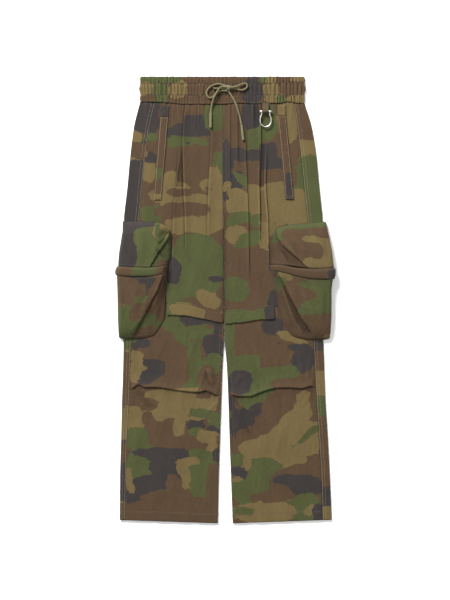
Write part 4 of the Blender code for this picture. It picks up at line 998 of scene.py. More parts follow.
# Each piece's ground, if it has one, and its patches in the order in which they are printed. A patch may lie only
# beyond one of the front's pleats, or only before one, because the fold hides the rest.
Patch = namedtuple("Patch", "colour x y half_x half_y turn beyond before", defaults=(0, None, None))
PATCHES = {
    "front_right_upper": (BROWN, [
        (BLACK, -169, 431, 20, 47), (GREEN, -168, 376, 12, 10), (BLACK, -171, 324, 13, 16),
        (TAN, -183, 337, 10, 8), (TAN, -176, 291, 20, 24, -8), (GREEN, -170, 197, 25, 20),
        (BROWN, -172, 353, 14, 13), (BROWN, -120, 427, 30, 29), (BLACK, -107, 386, 31, 16, 8, 2),
        (GREEN, -114, 366, 29, 12, 0, 2), (BLACK, -63, 400, 45, 28, 0, 0, 2), (GREEN, -66, 363, 47, 12, -4, 0, 2),
        (BLACK, -87, 360, 9, 6), (GREEN, -26, 424, 22, 31), (BROWN, -21, 362, 23, 31, 0, None, 0),
        (BROWN, -90, 308, 60, 48, 0, 0), (GREEN, -13, 320, 15, 25, 8, None, 0),
        (TAN, -24, 235, 26, 69, 0, None, 0), (TAN, -120, 268, 30, 26, -30, 3),
        (TAN, -103, 255, 23, 14, -16, None, 3), (TAN, -45, 267, 17, 12, 24), (BROWN, -89, 246, 54, 12, 3),
        (TAN, -140, 233, 28, 13, -24), (TAN, -107, 227, 36, 8, 8), (TAN, -52, 231, 20, 8, -12),
        (BROWN, -101, 209, 62, 16, 4), (TAN, -78, 171, 76, 22, 5), (TAN, -102, 163, 22, 16),
        (GREEN, -64, 76, 62, 76), (GREEN, -108, 28, 32, 60), (GREEN, -53, 115, 51, 28), (BLACK, -123, 68, 20, 31),
        (BLACK, -21, 48, 23, 7, 4), (BROWN, -80, 1, 32, 8, 4), (TAN, -37, -2, 30, 16, -30),
    ]),
    "front_left_upper": (BROWN, [
        (GREEN, -12, 425, 9, 34), (BROWN, 20, 407, 24, 48), (BLACK, 61, 425, 24, 32), (GREEN, 69, 368, 21, 25),
        (GREEN, 100, 412, 20, 48), (TAN, 144, 415, 24, 45), (BROWN, 126, 354, 18, 32), (BROWN, 160, 332, 15, 38),
        (BLACK, 1, 300, 17, 61), (BLACK, 47, 335, 38, 15, -4), (BLACK, 26, 273, 24, 26, -30),
        (GREEN, 30, 285, 21, 5, -47), (BLACK, 95, 340, 24, 23, 0, 4), (BLACK, 105, 310, 33, 21, -14, 4),
        (BROWN, 64, 291, 30, 31, 0, 2, 4), (BROWN, 107, 281, 36, 18, 10, 4), (TAN, 30, 227, 28, 33, 0, None, 2),
        (TAN, 64, 228, 34, 39, 0, 2, 4), (TAN, 113, 223, 46, 48, 14, 4), (TAN, 146, 210, 47, 29, -6),
        (TAN, 169, 194, 33, 26), (TAN, 115, 190, 30, 26, 0, 4), (TAN, 5, 261, 9, 10), (BLACK, -2, 240, 7, 13),
        (GREEN, 171, 276, 15, 46, -10), (TAN, 170, 240, 16, 15, -30), (BROWN, 156, 292, 9, 34),
        (GREEN, 34, 187, 28, 17, 4), (GREEN, 80, 182, 32, 16, 16), (TAN, 29, 153, 26, 20, 20),
        (GREEN, 55, 140, 34, 18, 24), (TAN, 99, 175, 18, 23), (TAN, 90, 131, 7, 23), (BROWN, 60, 85, 57, 39),
        (GREEN, 24, 26, 31, 29), (GREEN, 41, 23, 16, 14), (BROWN, 71, -12, 37, 16), (BLACK, 115, -12, 14, 30),
    ]),
    "back_right_upper": (None, [
        (BLACK, -195, 439, 37, 53), (TAN, -210, 374, 22, 17, -20), (BROWN, -208, 342, 38, 22),
        (BLACK, -212, 251, 39, 80), (GREEN, -212, 30, 16, 57),
    ]),
    "back_left_upper": (None, [(BROWN, 182, 422, 51, 70), (TAN, 186, 345, 46, 23), (GREEN, 202, 243, 57, 91)]),
    "hip_welt_right": (BROWN, [
        (BROWN, -143, 361, 16, 62), (GREEN, -153, 285, 10, 14), (BROWN, -156, 258, 12, 14),
        (TAN, -156, 231, 16, 15),
    ]),
    "hip_welt_left": (BROWN, [(BROWN, 136, 358, 18, 66), (BLACK, 150, 255, 14, 34)]),
    "hip_tab_right": (BLACK, [(BLACK, -140, 437, 18, 23)]),
    "hip_tab_left": (TAN, [(TAN, 131, 437, 18, 18), (GREEN, 116, 448, 8, 12)]),
    "ring_loop": (BROWN, []),
    "cargo_flap_right": (GREEN, [
        (BLACK, -225, 136, 34, 62, 4), (BLACK, -189, 178, 30, 10), (GREEN, -187, 145, 24, 21),
        (GREEN, -162, 106, 36, 32), (TAN, -144, 162, 20, 20, -30), (BROWN, -145, 86, 14, 13),
        (BLACK, -222, 92, 24, 23),
    ]),
    "cargo_flap_right_corner": (GREEN, [(TAN, -167, 150, 6, 14), (TAN, -135, 169, 13, 10, -30)]),
    "cargo_band_right": (BROWN, [
        (BROWN, -239, 64, 25, 18), (GREEN, -183, 62, 31, 16, 4), (BROWN, -143, 71, 16, 16),
    ]),
    "cargo_pouch_right": (BROWN, [
        (BLACK, -191, 47, 18, 10), (BLACK, -170, 25, 14, 25, -10), (BROWN, -223, 28, 28, 28),
        (GREEN, -229, -51, 26, 46), (GREEN, -192, -1, 17, 8), (GREEN, -179, -60, 30, 28, 24),
        (BROWN, -204, -30, 17, 16, 30), (BROWN, -150, 12, 23, 34, -20), (BROWN, -175, -77, 30, 20, 24),
        (TAN, -237, -9, 12, 5),
    ]),
    "cargo_flap_left": (BROWN, [
        (GREEN, 138, 163, 25, 21, 10), (GREEN, 197, 176, 49, 13, 4), (BROWN, 179, 140, 55, 23, -4),
        (TAN, 216, 131, 39, 12, -4), (TAN, 235, 110, 21, 32, -16), (BROWN, 190, 113, 36, 23, -10),
        (TAN, 202, 84, 18, 10), (GREEN, 130, 125, 15, 13, -50), (GREEN, 108, 147, 9, 32),
        (BROWN, 126, 108, 23, 34, -20),
    ]),
    "cargo_band_left": (BROWN, [(BLACK, 251, 57, 14, 16)]),
    "cargo_pouch_left": (BROWN, [
        (TAN, 141, 53, 15, 9, -10), (GREEN, 210, 34, 45, 14, 4), (GREEN, 124, 36, 12, 20, -24),
        (BROWN, 194, 13, 20, 13, -6), (GREEN, 215, -15, 40, 17, 4), (GREEN, 235, 12, 21, 21),
        (BROWN, 150, -16, 23, 53, -30), (BROWN, 202, -64, 53, 32), (TAN, 237, -83, 12, 7),
    ]),
    "zip_flap_right": (TAN, [
        (GREEN, -131, -16, 18, 21), (TAN, -97, -24, 30, 17, -4), (BROWN, -37, -18, 34, 9, -14),
        (BROWN, -22, -43, 24, 17, -14),
    ]),
    "zip_flap_left": (GREEN, [
        (GREEN, 14, -39, 21, 25), (GREEN, 66, -43, 36, 17, 4), (BROWN, 61, -17, 24, 8, 4),
        (BLACK, 115, -30, 21, 25),
    ]),
    "front_right_lower": (BROWN, [
        (GREEN, -122, -51, 28, 23), (BLACK, -57, -44, 51, 16, -10), (BLACK, -62, -60, 21, 9),
        (GREEN, -75, -76, 49, 18), (BLACK, -28, -103, 25, 25), (BLACK, -15, -67, 13, 16),
        (BLACK, -16, -131, 12, 16), (GREEN, -97, -94, 21, 12), (GREEN, -68, -146, 17, 59),
        (GREEN, -79, -189, 20, 16), (GREEN, -32, -147, 23, 28, -40), (BROWN, -43, -178, 17, 26, -16),
        (BLACK, -190, -98, 20, 8), (BROWN, -125, -147, 43, 55), (BLACK, -169, -159, 31, 25),
        (BLACK, -181, -179, 24, 16, 20), (TAN, -202, -128, 16, 13, -20), (TAN, -205, -164, 14, 24, -10),
        (TAN, -190, -158, 15, 6, 10), (GREEN, -215, -86, 22, 17), (TAN, -103, -240, 87, 38),
        (BROWN, -199, -216, 20, 21, -20), (BROWN, -178, -235, 20, 14, -40), (BROWN, -51, -218, 23, 9),
        (TAN, -208, -270, 20, 26), (BROWN, -179, -276, 18, 18, -50), (BROWN, -129, -289, 21, 20, 30),
        (BROWN, -131, -319, 64, 31), (BROWN, -84, -324, 33, 23, -24), (BROWN, -52, -338, 22, 14, -10),
        (TAN, -105, -291, 15, 20, -10), (GREEN, -49, -262, 33, 12, -6), (GREEN, -25, -278, 18, 21, -20),
        (BLACK, -61, -288, 26, 12, 8), (BLACK, -26, -302, 20, 15, -40), (GREEN, -70, -300, 17, 8),
        (TAN, -40, -316, 29, 17, -14), (TAN, -28, -338, 14, 16), (GREEN, -204, -319, 29, 26),
        (GREEN, -195, -373, 32, 46, -18), (BLACK, -130, -354, 68, 14, -3), (BLACK, -140, -383, 41, 26, -12),
        (BLACK, -170, -422, 44, 22, 12), (BLACK, -215, -453, 15, 16, 20), (GREEN, -53, -362, 30, 20, -10),
        (GREEN, -61, -409, 33, 51, 28), (TAN, -82, -371, 24, 10, 10), (TAN, -94, -404, 14, 31, 14),
        (BROWN, -118, -425, 17, 25), (TAN, -220, -414, 10, 32, 10), (BROWN, -120, -485, 117, 34),
        (BROWN, -24, -439, 22, 67), (BLACK, -18, -359, 12, 18),
    ]),
    "front_left_lower": (BROWN, [
        (GREEN, 9, -108, 16, 67), (BROWN, 55, -90, 34, 39), (BLACK, 112, -61, 24, 22),
        (TAN, 160, -89, 36, 10, -20), (BROWN, 120, -135, 34, 20), (BLACK, 166, -110, 34, 9, -8),
        (BLACK, 182, -140, 28, 30, -30), (GREEN, 52, -148, 33, 22), (GREEN, 106, -169, 80, 17),
        (GREEN, 79, -197, 31, 20), (BLACK, 33, -193, 29, 28, -10), (BROWN, 153, -194, 49, 13),
        (GREEN, 64, -238, 39, 22, 10), (BLACK, 15, -240, 10, 20), (GREEN, 17, -267, 13, 12, -20),
        (BLACK, 36, -281, 26, 32, -30), (BLACK, 78, -262, 25, 23, 30), (BROWN, 131, -232, 46, 25, 30),
        (BROWN, 103, -276, 46, 23, 28), (BROWN, 64, -307, 48, 22, 14), (TAN, 183, -247, 24, 38, -14),
        (TAN, 145, -297, 69, 28, 45), (TAN, 175, -306, 48, 30, 10), (BROWN, 210, -228, 15, 28, -6),
        (TAN, 124, -338, 99, 34, 10), (TAN, 152, -373, 34, 23, 30), (GREEN, 189, -312, 32, 6, 38),
        (GREEN, 34, -370, 28, 16, -16), (GREEN, 90, -388, 46, 26, -8), (GREEN, 57, -435, 46, 34),
        (TAN, 48, -389, 12, 21, -24), (TAN, 29, -409, 17, 9, 20), (BLACK, 25, -396, 18, 12, 14),
        (BROWN, 163, -393, 60, 16, 14), (BROWN, 133, -430, 30, 34, -10), (BROWN, 87, -455, 30, 14, 10),
        (BLACK, 170, -412, 53, 9, -2), (BLACK, 187, -430, 36, 21, 8), (GREEN, 182, -476, 41, 30, 20),
        (TAN, 85, -490, 69, 25, 4), (TAN, 198, -485, 18, 12, 24), (GREEN, 40, -486, 20, 8),
        (BLACK, 217, -488, 13, 18),
    ]),
    "back_right_lower": (None, [
        (GREEN, -223, -72, 32, 45), (BROWN, -225, -183, 34, 68), (TAN, -225, -286, 34, 40),
        (BROWN, -235, -352, 30, 30), (BLACK, -232, -422, 32, 45), (BROWN, -232, -496, 32, 33),
    ]),
    "back_left_lower": (None, [
        (GREEN, 216, -72, 34, 45), (BLACK, 218, -108, 32, 14), (BROWN, 216, -144, 34, 26),
        (TAN, 218, -195, 37, 30), (GREEN, 225, -248, 34, 28), (BROWN, 232, -351, 37, 79),
        (BLACK, 237, -451, 32, 25), (TAN, 237, -500, 37, 29),
    ]),
    "waistband": (BROWN, [
        (GREEN, -156, 509, 48, 10), (TAN, -181, 484, 20, 15), (GREEN, -147, 480, 18, 31),
        (TAN, -110, 483, 23, 18, 24), (BROWN, -21, 485, 69, 34), (BROWN, -182, 458, 18, 12),
        (BLACK, 64, 485, 23, 34), (TAN, 105, 511, 15, 14), (GREEN, 86, 508, 8, 12), (TAN, 110, 476, 25, 25),
        (TAN, 160, 459, 29, 10), (BROWN, 135, 504, 20, 12, -10), (TAN, 168, 509, 23, 10),
        (BROWN, 163, 483, 28, 12), (GREEN, 130, 457, 10, 10),
    ]),
}
PATCH_EDGE = 11.0  # a patch takes over from its ground across this width
UNCALLED = 1.4  # how far a colour is held back where nothing calls for it


def camouflage_fields(piece, grid):
    """How strongly each of the four colours is called for at every point of a grid."""
    ground, patches = PATCHES.get(piece, (None, []))
    side = "left" if "left" in piece else "right"
    x, y = grid[..., 0], grid[..., 1]
    fields = np.zeros(x.shape + (4,))
    if ground is not None:
        fields[...] = -UNCALLED
        fields[..., ground] = 0.55
    for patch in (Patch(*row) for row in patches):
        cosine, sine = math.cos(math.radians(patch.turn)), math.sin(math.radians(patch.turn))
        across = (x - patch.x) * cosine + (y - patch.y) * sine
        along = (y - patch.y) * cosine - (x - patch.x) * sine
        reach = (np.abs(across / patch.half_x) ** 2.6 + np.abs(along / patch.half_y) ** 2.6) ** (1 / 2.6)
        inside = np.clip((1.0 - reach) * min(patch.half_x, patch.half_y) / PATCH_EDGE, -UNCALLED, 1.0)
        for pleat, way in ((patch.beyond, 1), (patch.before, -1)):
            if pleat is not None:
                beyond = SIDES[side] * x - PLEAT_LINES[side][pleat](y) - 0.6
                inside = np.where(beyond * way > 0, inside, -UNCALLED)
        for colour in range(4):
            take, called = (np.maximum, inside) if colour == patch.colour else (np.minimum, -inside)
            fields[..., colour] = take(fields[..., colour], called)
    return fields


# ------------------------------------------------------------------------------ materials


class Nodes:
    """Short hand for building a material's nodes."""

    def __init__(self, name):
        self.material = bpy.data.materials.new(name)
        self.material.use_nodes = True
        self.tree = self.material.node_tree
        self.place = self.add("TexCoord").outputs["Object"]

    def put(self, socket, value):
        if isinstance(value, bpy.types.NodeSocket):
            self.tree.links.new(value, socket)
        elif value is not None:
            socket.default_value = value

    def add(self, kind, inputs=None, **settings):
        node = self.tree.nodes.new("ShaderNode" + kind)
        for key, value in settings.items():
            setattr(node, key, value)
        for key, value in (inputs or {}).items():
            self.put(node.inputs[key], value)
        return node

    def attribute(self, name):
        return self.add("Attribute", attribute_name=name).outputs

    def math(self, operation, *values, clamp=False):
        return self.add("Math", dict(enumerate(values)), operation=operation, use_clamp=clamp).outputs[0]

    def vector(self, operation, *values):
        return self.add("VectorMath", dict(enumerate(values)), operation=operation).outputs[0]

    def span(self, value, factor, least):
        return self.math("MULTIPLY_ADD", value, factor, least)

    def stretched(self, *factors):
        return self.vector("MULTIPLY", self.place, factors)

    def noise(self, scale, detail=2.0, roughness=0.5, at=None, w=None, output="Fac"):
        inputs = {"Vector": at or self.place, "Scale": scale, "Detail": detail, "Roughness": roughness}
        if w is None:
            return self.add("TexNoise", inputs).outputs[output]
        return self.add("TexNoise", {**inputs, "W": w}, noise_dimensions="4D").outputs[output]

    def mix(self, share, a, b):
        return self.add("Mix", {0: share, 6: a, 7: b}, data_type="RGBA").outputs[2]

    def scaled(self, colour, factor):
        return self.vector("MULTIPLY", colour, self.add("CombineXYZ", {0: factor, 1: factor, 2: factor}).outputs[0])

    def surface(self, colour, roughness, *bumps, **more):
        """Connects the shader. Each bump, from the lowest up, is a height, its distance and its strength."""
        normal = None
        for height, distance, strength in bumps:
            inputs = {"Height": height, "Distance": distance, "Strength": strength, "Normal": normal}
            normal = self.add("Bump", inputs).outputs[0]
        for key, value in {"Base_Color": colour, "Roughness": roughness, "Normal": normal, **more}.items():
            self.put(self.tree.nodes["Principled BSDF"].inputs[key.replace("_", " ")], value)
        return self.material


CAMO_COLOURS = {
    GREEN: (0.0455, 0.0510, 0.0175, 1.0),
    BROWN: (0.0560, 0.0335, 0.0175, 1.0),
    TAN: (0.0960, 0.0685, 0.0270, 1.0),
    BLACK: (0.0268, 0.0226, 0.0212, 1.0),
}


def cloth_material(nodes, colour):
    """Twill weave, fibre, soft wear, and the painted shade and painted highlights of folds and seams."""
    tone = nodes.attribute("tone")["Fac"]
    wash = nodes.noise(22.0, 3.0)
    fibre = nodes.noise(1.0, at=nodes.stretched(900.0, 2600.0, 900.0))
    light = nodes.math("MULTIPLY", nodes.span(wash, 0.34, 0.83), nodes.span(fibre, 0.3, 0.85))
    # Painted shade and painted highlights of folds and seams darken or lighten the colour here
    light = nodes.math("MULTIPLY", light, nodes.math("ADD", tone, 1.0))
    twill = nodes.add("TexWave", {
        "Vector": nodes.stretched(1.0, 1.0, 0.4), "Scale": 420.0, "Distortion": 0.6, "Detail": 1.0,
        "Detail Scale": 2.0,
    }, wave_type="BANDS", bands_direction="DIAGONAL").outputs["Fac"]
    slub = nodes.noise(420.0, at=nodes.stretched(1.0, 0.3, 1.0))
    rumple = nodes.noise(46.0, 3.0, 0.55, nodes.stretched(1.0, 0.55, 1.0))
    return nodes.surface(
        nodes.scaled(colour, light), nodes.span(wash, 0.16, 0.74),
        (rumple, 0.0016, 0.35), (slub, 0.0002, 0.4), (twill, 0.0003, 0.45),
        Sheen_Weight=0.05, Sheen_Roughness=0.5, Specular_IOR_Level=0.12,
    )


def camouflage_cloth():
    """Four-colour woodland print: where each colour lies comes from the cloth's fields and from noise."""
    nodes = Nodes("camouflage_cloth")
    fields, seed = nodes.attribute("camouflage"), nodes.attribute("cut")["Fac"]
    jag = nodes.vector("SUBTRACT", nodes.noise(52.0, 3.0, 0.6, output="Color"), (0.5, 0.5, 0.5))
    jag = nodes.vector("MULTIPLY", jag, (0.036, 0.022, 0.02))
    print_place = nodes.vector("MULTIPLY", nodes.vector("ADD", nodes.place, jag), (1.0, 1.55, 1.0))
    parts = nodes.add("SeparateColor", {0: fields["Color"]}).outputs
    levels = []
    for colour, call in enumerate([parts[0], parts[1], parts[2], fields["Alpha"]]):
        cloud = nodes.noise(17.0, 4.0, 0.6, print_place, nodes.math("ADD", seed, 4.7 * colour))
        levels.append(nodes.span(nodes.math("SUBTRACT", cloud, 0.5), 4.4, call))
    shade, top = CAMO_COLOURS[GREEN], levels[GREEN]
    for colour in (BROWN, TAN, BLACK):
        ahead = nodes.math("MULTIPLY_ADD", nodes.math("SUBTRACT", levels[colour], top), 16.0, 0.5, clamp=True)
        shade = nodes.mix(ahead, shade, CAMO_COLOURS[colour])
        top = nodes.math("MAXIMUM", top, levels[colour])
    return cloth_material(nodes, shade)


def cord_material(name, dark, light, pitch):
    """Braided cord: slanting strands that cross, with fine fibres, painted shade in the grooves between strands and a
    random mottle.
    """
    nodes = Nodes(name)
    turn = nodes.add("SeparateColor", {0: nodes.attribute("braid")["Color"]}).outputs
    along, round_it = nodes.math("MULTIPLY", turn[0], pitch), nodes.math("MULTIPLY", turn[1], 4.0)
    strands = [nodes.math("SINE", nodes.math(way, along, round_it)) for way in ("ADD", "SUBTRACT")]
    braid = nodes.span(nodes.math("MAXIMUM", *strands), 0.5, 0.5)
    fibre, mottle = nodes.noise(2600.0), nodes.noise(260.0)
    speckle = nodes.span(mottle, 0.5, nodes.math("MULTIPLY", fibre, 0.2))
    # The dark colour in the grooves between strands is painted shade
    share = nodes.math("MULTIPLY_ADD", braid, 0.6, speckle, clamp=True)
    return nodes.surface(
        nodes.mix(share, (*dark, 1.0), (*light, 1.0)), nodes.span(fibre, 0.2, 0.62),
        (fibre, 0.0001, 0.5), (braid, 0.0005, 0.8), Sheen_Weight=0.2, Specular_IOR_Level=0.3,
    )


def thread_material(name, colour):
    nodes = Nodes(name)
    twist, patch = nodes.noise(1800.0), nodes.noise(60.0)
    light = nodes.span(twist, 0.5, nodes.span(patch, 0.5, 0.5))
    return nodes.surface(nodes.scaled(colour, light), nodes.span(twist, 0.2, 0.5), (twist, 0.0001, 0.6))


def metal_material():
    """Bright nickel with fine marks and a little dulling."""
    nodes = Nodes("nickel")
    dull = nodes.noise(240.0, 3.0, 0.6)
    marks = nodes.noise(1500.0, at=nodes.stretched(1.0, 0.12, 1.0))
    colour = nodes.mix(dull, (0.50, 0.48, 0.44, 1.0), (0.74, 0.73, 0.70, 1.0))
    return nodes.surface(colour, nodes.span(dull, 0.24, 0.27), (marks, 0.00004, 0.4), Metallic=1.0)


def floor_material():
    nodes = Nodes("pale_floor")
    grain = nodes.noise(6.0)
    colour = nodes.mix(grain, (0.90, 0.90, 0.895, 1.0), (0.93, 0.93, 0.925, 1.0))
    return nodes.surface(colour, nodes.span(grain, 0.05, 0.9), Specular_IOR_Level=0.1)


# ------------------------------------------------------------------------------ meshes


def add_mesh(name, points, faces, material, slot, body="trousers"):
    """A mesh from points in millimetres, which rides on a body and takes a material. Its slot is not used."""
    mesh = bpy.data.meshes.new(name)
    mesh.from_pydata((np.asarray(points, float) * MM).tolist(), [], [list(map(int, f)) for f in faces])
    mesh.materials.append(material)
    mesh.shade_smooth()
    item = bpy.data.objects.new(name, mesh)
    bpy.context.scene.collection.objects.link(item)
    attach(item, body)
    return item


def grid_faces(count, columns, closed=False, joined=False):
    """Faces of a grid. Its rows may be closed, and its last row may be joined to its first."""
    index = np.arange(count * columns).reshape(count, columns)
    if joined:
        index = np.vstack([index, index[:1]])
    right = np.roll(index, -1, axis=1)
    quads = np.stack([index[:-1], right[:-1], right[1:], index[1:]], axis=-1)
    return (quads if closed else quads[:, :-1]).reshape(-1, 4)


def set_attribute(item, name, kind, values):
    layer = item.data.attributes.new(name, kind, "POINT")
    key = "color" if kind == "FLOAT_COLOR" else "value"
    layer.data.foreach_set(key, np.ascontiguousarray(values, np.float32).ravel())


class Cloths:
    """The sheets of cloth, by the CAD node that each replaces."""

    def __init__(self, camouflage):
        self.camouflage, self.sheets = camouflage, {}

    def add(self, name, grid, tone, thickness=CLOTH, middle=2.3, closed=False, slot="camouflage_cloth",
            material=None, replaces=True):
        """A thin shell on a grid of points. Its faces look away from the height of its middle."""
        faces = grid_faces(*grid.shape[:2], closed)
        points = grid.reshape(-1, 3)
        a, b, d = points[faces[:, 0]], points[faces[:, 1]], points[faces[:, 3]]
        area = np.cross(b - a, d - a)
        if ((points[faces].mean(axis=1)[:, 2] - middle) * area[:, 2]).sum() < 0:
            faces = faces[:, ::-1]
        item = add_mesh(name + "_cloth", points, faces, material or self.camouflage, slot)
        set_attribute(item, "camouflage", "FLOAT_COLOR", camouflage_fields(name, grid))
        # Painted shade and painted highlights, one value a point
        set_attribute(item, "tone", "FLOAT", tone)
        cut = sum(ord(letter) * (i + 1) for i, letter in enumerate(item.name)) % 97
        set_attribute(item, "cut", "FLOAT", np.full(grid.shape[:2], float(cut)))
        shell = item.modifiers.new("Cloth thickness", "SOLIDIFY")
        shell.thickness, shell.offset = thickness * MM, 0.0
        if replaces:
            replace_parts(item, name)
        self.sheets[name] = item


def tone_of(grid, strength=0.06, limit=0.5, rounds=3, light=0.2, closed=False):
    """Painted shade in hollows and a little painted highlight on ridges, from how the surface curves."""
    def between(values, axis, mode):
        index = np.arange(values.shape[axis])
        return (np.take(values, index - 1, axis, mode=mode) + np.take(values, index + 1, axis, mode=mode)) / 2

    z = low = grid[..., 2]
    for _ in range(rounds):
        low = low * 0.3 + between(low, 1, "wrap" if closed else "clip") * 0.45 + between(low, 0, "clip") * 0.25
    return np.clip((z - low) * strength * 10.0, -limit, light)


# ------------------------------------------------------------------------------ cords

BAND_FACE = BAND_HEIGHT + GATHER_RISE
FRONTS_MEET = -5.3  # the centre seam


def rest_height(legs, x, y, reach):
    """Height of the highest cloth within reach of a point on the front."""
    if y > WAIST_SEAM - BAND_OVERHANG:
        return BAND_FACE
    heights = []
    for a in x + np.linspace(-1.0, 1.0, 9) * reach:
        heights.append(float(legs["left" if a > FRONTS_MEET else "right"].front(abs(a), y)))
    return max(heights) + CLOTH / 2


def laid(legs, *tables):
    """The middle of a cord that lies on the cloth through these points."""
    return [
        (x, y, rest_height(legs, x, y, CORD_RADIUS + REST_REACH) + GAP + CORD_RADIUS + over)
        for table in tables for x, y, over in table
    ]


def smooth_line(points, step):
    """Points about one step apart on a Catmull-Rom line."""
    points = np.array(points, float)
    padded = np.vstack([2 * points[0] - points[1], points, 2 * points[-1] - points[-2]])
    line = []
    for a, b, c, d in zip(padded, padded[1:], padded[2:], padded[3:]):
        count = max(2, math.ceil(np.linalg.norm(c - b) / step))
        square, cube = 2 * a - 5 * b + 4 * c - d, 3 * b - a - 3 * c + d
        for t in np.linspace(0.0, 1.0, count, endpoint=False):
            line.append(0.5 * (2 * b + (c - a) * t + square * t * t + cube * t ** 3))
    return np.array(line + [points[-1]])


def length_along(line):
    return np.concatenate([[0.0], np.cumsum(np.linalg.norm(np.diff(line, axis=0), axis=1))])


def swept(line, across, up, radii, sides, along):
    """Points of a round section carried along a line, and its braid coordinates."""
    angle = np.linspace(0.0, 2 * math.pi, sides, endpoint=False)
    ring = np.cos(angle)[:, None] * across[:, None] + np.sin(angle)[:, None] * up[:, None]
    points = line[:, None] + ring * np.asarray(radii)[:, None, None]
    braid = np.stack(np.broadcast_arrays(along[:, None], angle, 0.0, 1.0), -1)
    return points.reshape(-1, 3), braid.reshape(-1, 4)


def tube(line, radii, sides=14):
    """Points, faces and braid coordinates of a round tube with closed ends."""
    tangent = unit(np.gradient(line, axis=0))
    side = unit(np.cross(tangent, [0.0, 0.0, 1.0]))
    points, braid = swept(line, side, np.cross(side, tangent), radii, sides, length_along(line))
    count = len(points)
    ends = [tuple(range(sides)), tuple(range(count - 1, count - sides - 1, -1))]
    return points, grid_faces(len(line), sides, closed=True).tolist() + ends, braid


def add_tube(name, line, radii, material, slot, sides=14):
    points, faces, braid = tube(line, radii, sides)
    item = add_mesh(name, points, faces, material, slot)
    set_attribute(item, "braid", "FLOAT_COLOR", braid)
    return item


def add_joined(name, blocks, material, slot, body):
    """One mesh from several blocks of points and faces."""
    faces, count = [], 0
    for block, block_faces in blocks:
        faces += [[i + count for i in face] for face in block_faces]
        count += len(block)
    return add_mesh(name, np.concatenate([block for block, _ in blocks]), faces, material, slot, body)


KNOT_STEPS, KNOT_SIDES = 40, 14


def add_knot(cord):
    """The knot: two turns of cord drawn tight round the bow's middle."""
    middle = np.array([KNOT_X, KNOT_Y, BAND_FACE + GAP + KNOT_HALF_HEIGHT])
    faces = grid_faces(KNOT_STEPS, KNOT_SIDES, closed=True, joined=True).tolist()
    angle = np.linspace(0.0, 2 * math.pi, KNOT_STEPS, endpoint=False)
    blocks, braids = [], []
    for shift, lean in ((-2.0, 0.35), (1.9, 0.2)):
        x, y, z = middle + [shift, 0.0, 0.0]
        line = np.stack([x + lean * 2.2 * np.sin(angle), y + 4.6 * np.cos(angle), z + 2.45 * np.sin(angle)], axis=-1)
        tangent = unit(np.roll(line, -1, 0) - np.roll(line, 1, 0))
        out = line - [x, y, z]
        out = unit(out - (out * tangent).sum(1, keepdims=True) * tangent)
        radii, along = np.full(KNOT_STEPS, CORD_RADIUS * 0.95), np.arange(KNOT_STEPS) * 0.75
        points, braid = swept(line, out, np.cross(tangent, out), radii, KNOT_SIDES, along)
        blocks.append((points, faces))
        braids.append(braid)
    knot = add_joined("drawstring_knot_turns", blocks, cord, "olive_cord", "trousers")
    set_attribute(knot, "braid", "FLOAT_COLOR", np.concatenate(braids))
    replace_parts(knot, "drawstring_knot")
    return knot


def add_tip(legs, side, start, end, material):
    """A stiff bound cord end. Also gives its height."""
    heights = [rest_height(legs, *mix(start, end, i / 8), TIP_RADIUS + REST_REACH) for i in range(9)]
    z = max(heights) + GAP + TIP_RADIUS
    share = np.concatenate([[0.0, 0.004, 0.02], np.linspace(0.05, 0.95, 22), [0.98, 0.996, 1.0]])
    line = np.array([[*mix(start, end, s), z] for s in share])
    radii = np.concatenate([[0.55, 0.8, 0.95], 0.96 + 0.04 * np.cos(np.arange(22) * 1.3), [0.94, 0.78, 0.5]])
    item = add_tube(f"drawstring_tip_{side}_bound", line, TIP_RADIUS * radii, material, "olive_cord_tip", 16)
    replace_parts(item, f"drawstring_tip_{side}")
    return item, z


def add_drawstring(legs, cord, tip):
    """The two runs of the drawstring, from the waistband through the bow to each tip."""
    over = laid(legs, STRAND_LEAD, BOW_LOOP_LEFT, FREE_END_RIGHT)
    under = [(7.6, 491.6, BAND_FACE + GAP + CORD_RADIUS)] + laid(legs, BOW_LOOP_RIGHT, FREE_END_LEFT)
    knot = add_knot(cord)
    runs = [
        ("over", over, "right", ("drawstring_lead", "drawstring_loop_left", "drawstring_end_right"), [knot]),
        ("under", under, "left", ("drawstring_loop_right", "drawstring_end_left"), []),
    ]
    for name, route, side, nodes, more in runs:
        start, end = (np.array(point) for point in TIPS[side])
        item, z = add_tip(legs, side, start, end, tip)
        x, y, last_z = route[-1]
        route = route[:-1] + [(x, y, mix(last_z, z, 0.8)), (*start, z), (*mix(start, end, 0.12), z)]
        line = smooth_line(route, 1.1)
        string = add_tube("drawstring_" + name, line, np.full(len(line), CORD_RADIUS), cord, "olive_cord")
        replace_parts(string, *nodes)
        tuple(np.array(route[0]) * MM)


# ------------------------------------------------------------------------------ stitching

STITCH_PITCH, STITCH_LENGTH, STITCH_WIDTH, STITCH_HEIGHT = 3.1, 2.3, 0.8, 0.4
STITCH_SINK = 0.12  # of its two ends into the cloth
HEM_ROWS = (19.0, 21.5)  # above the hem


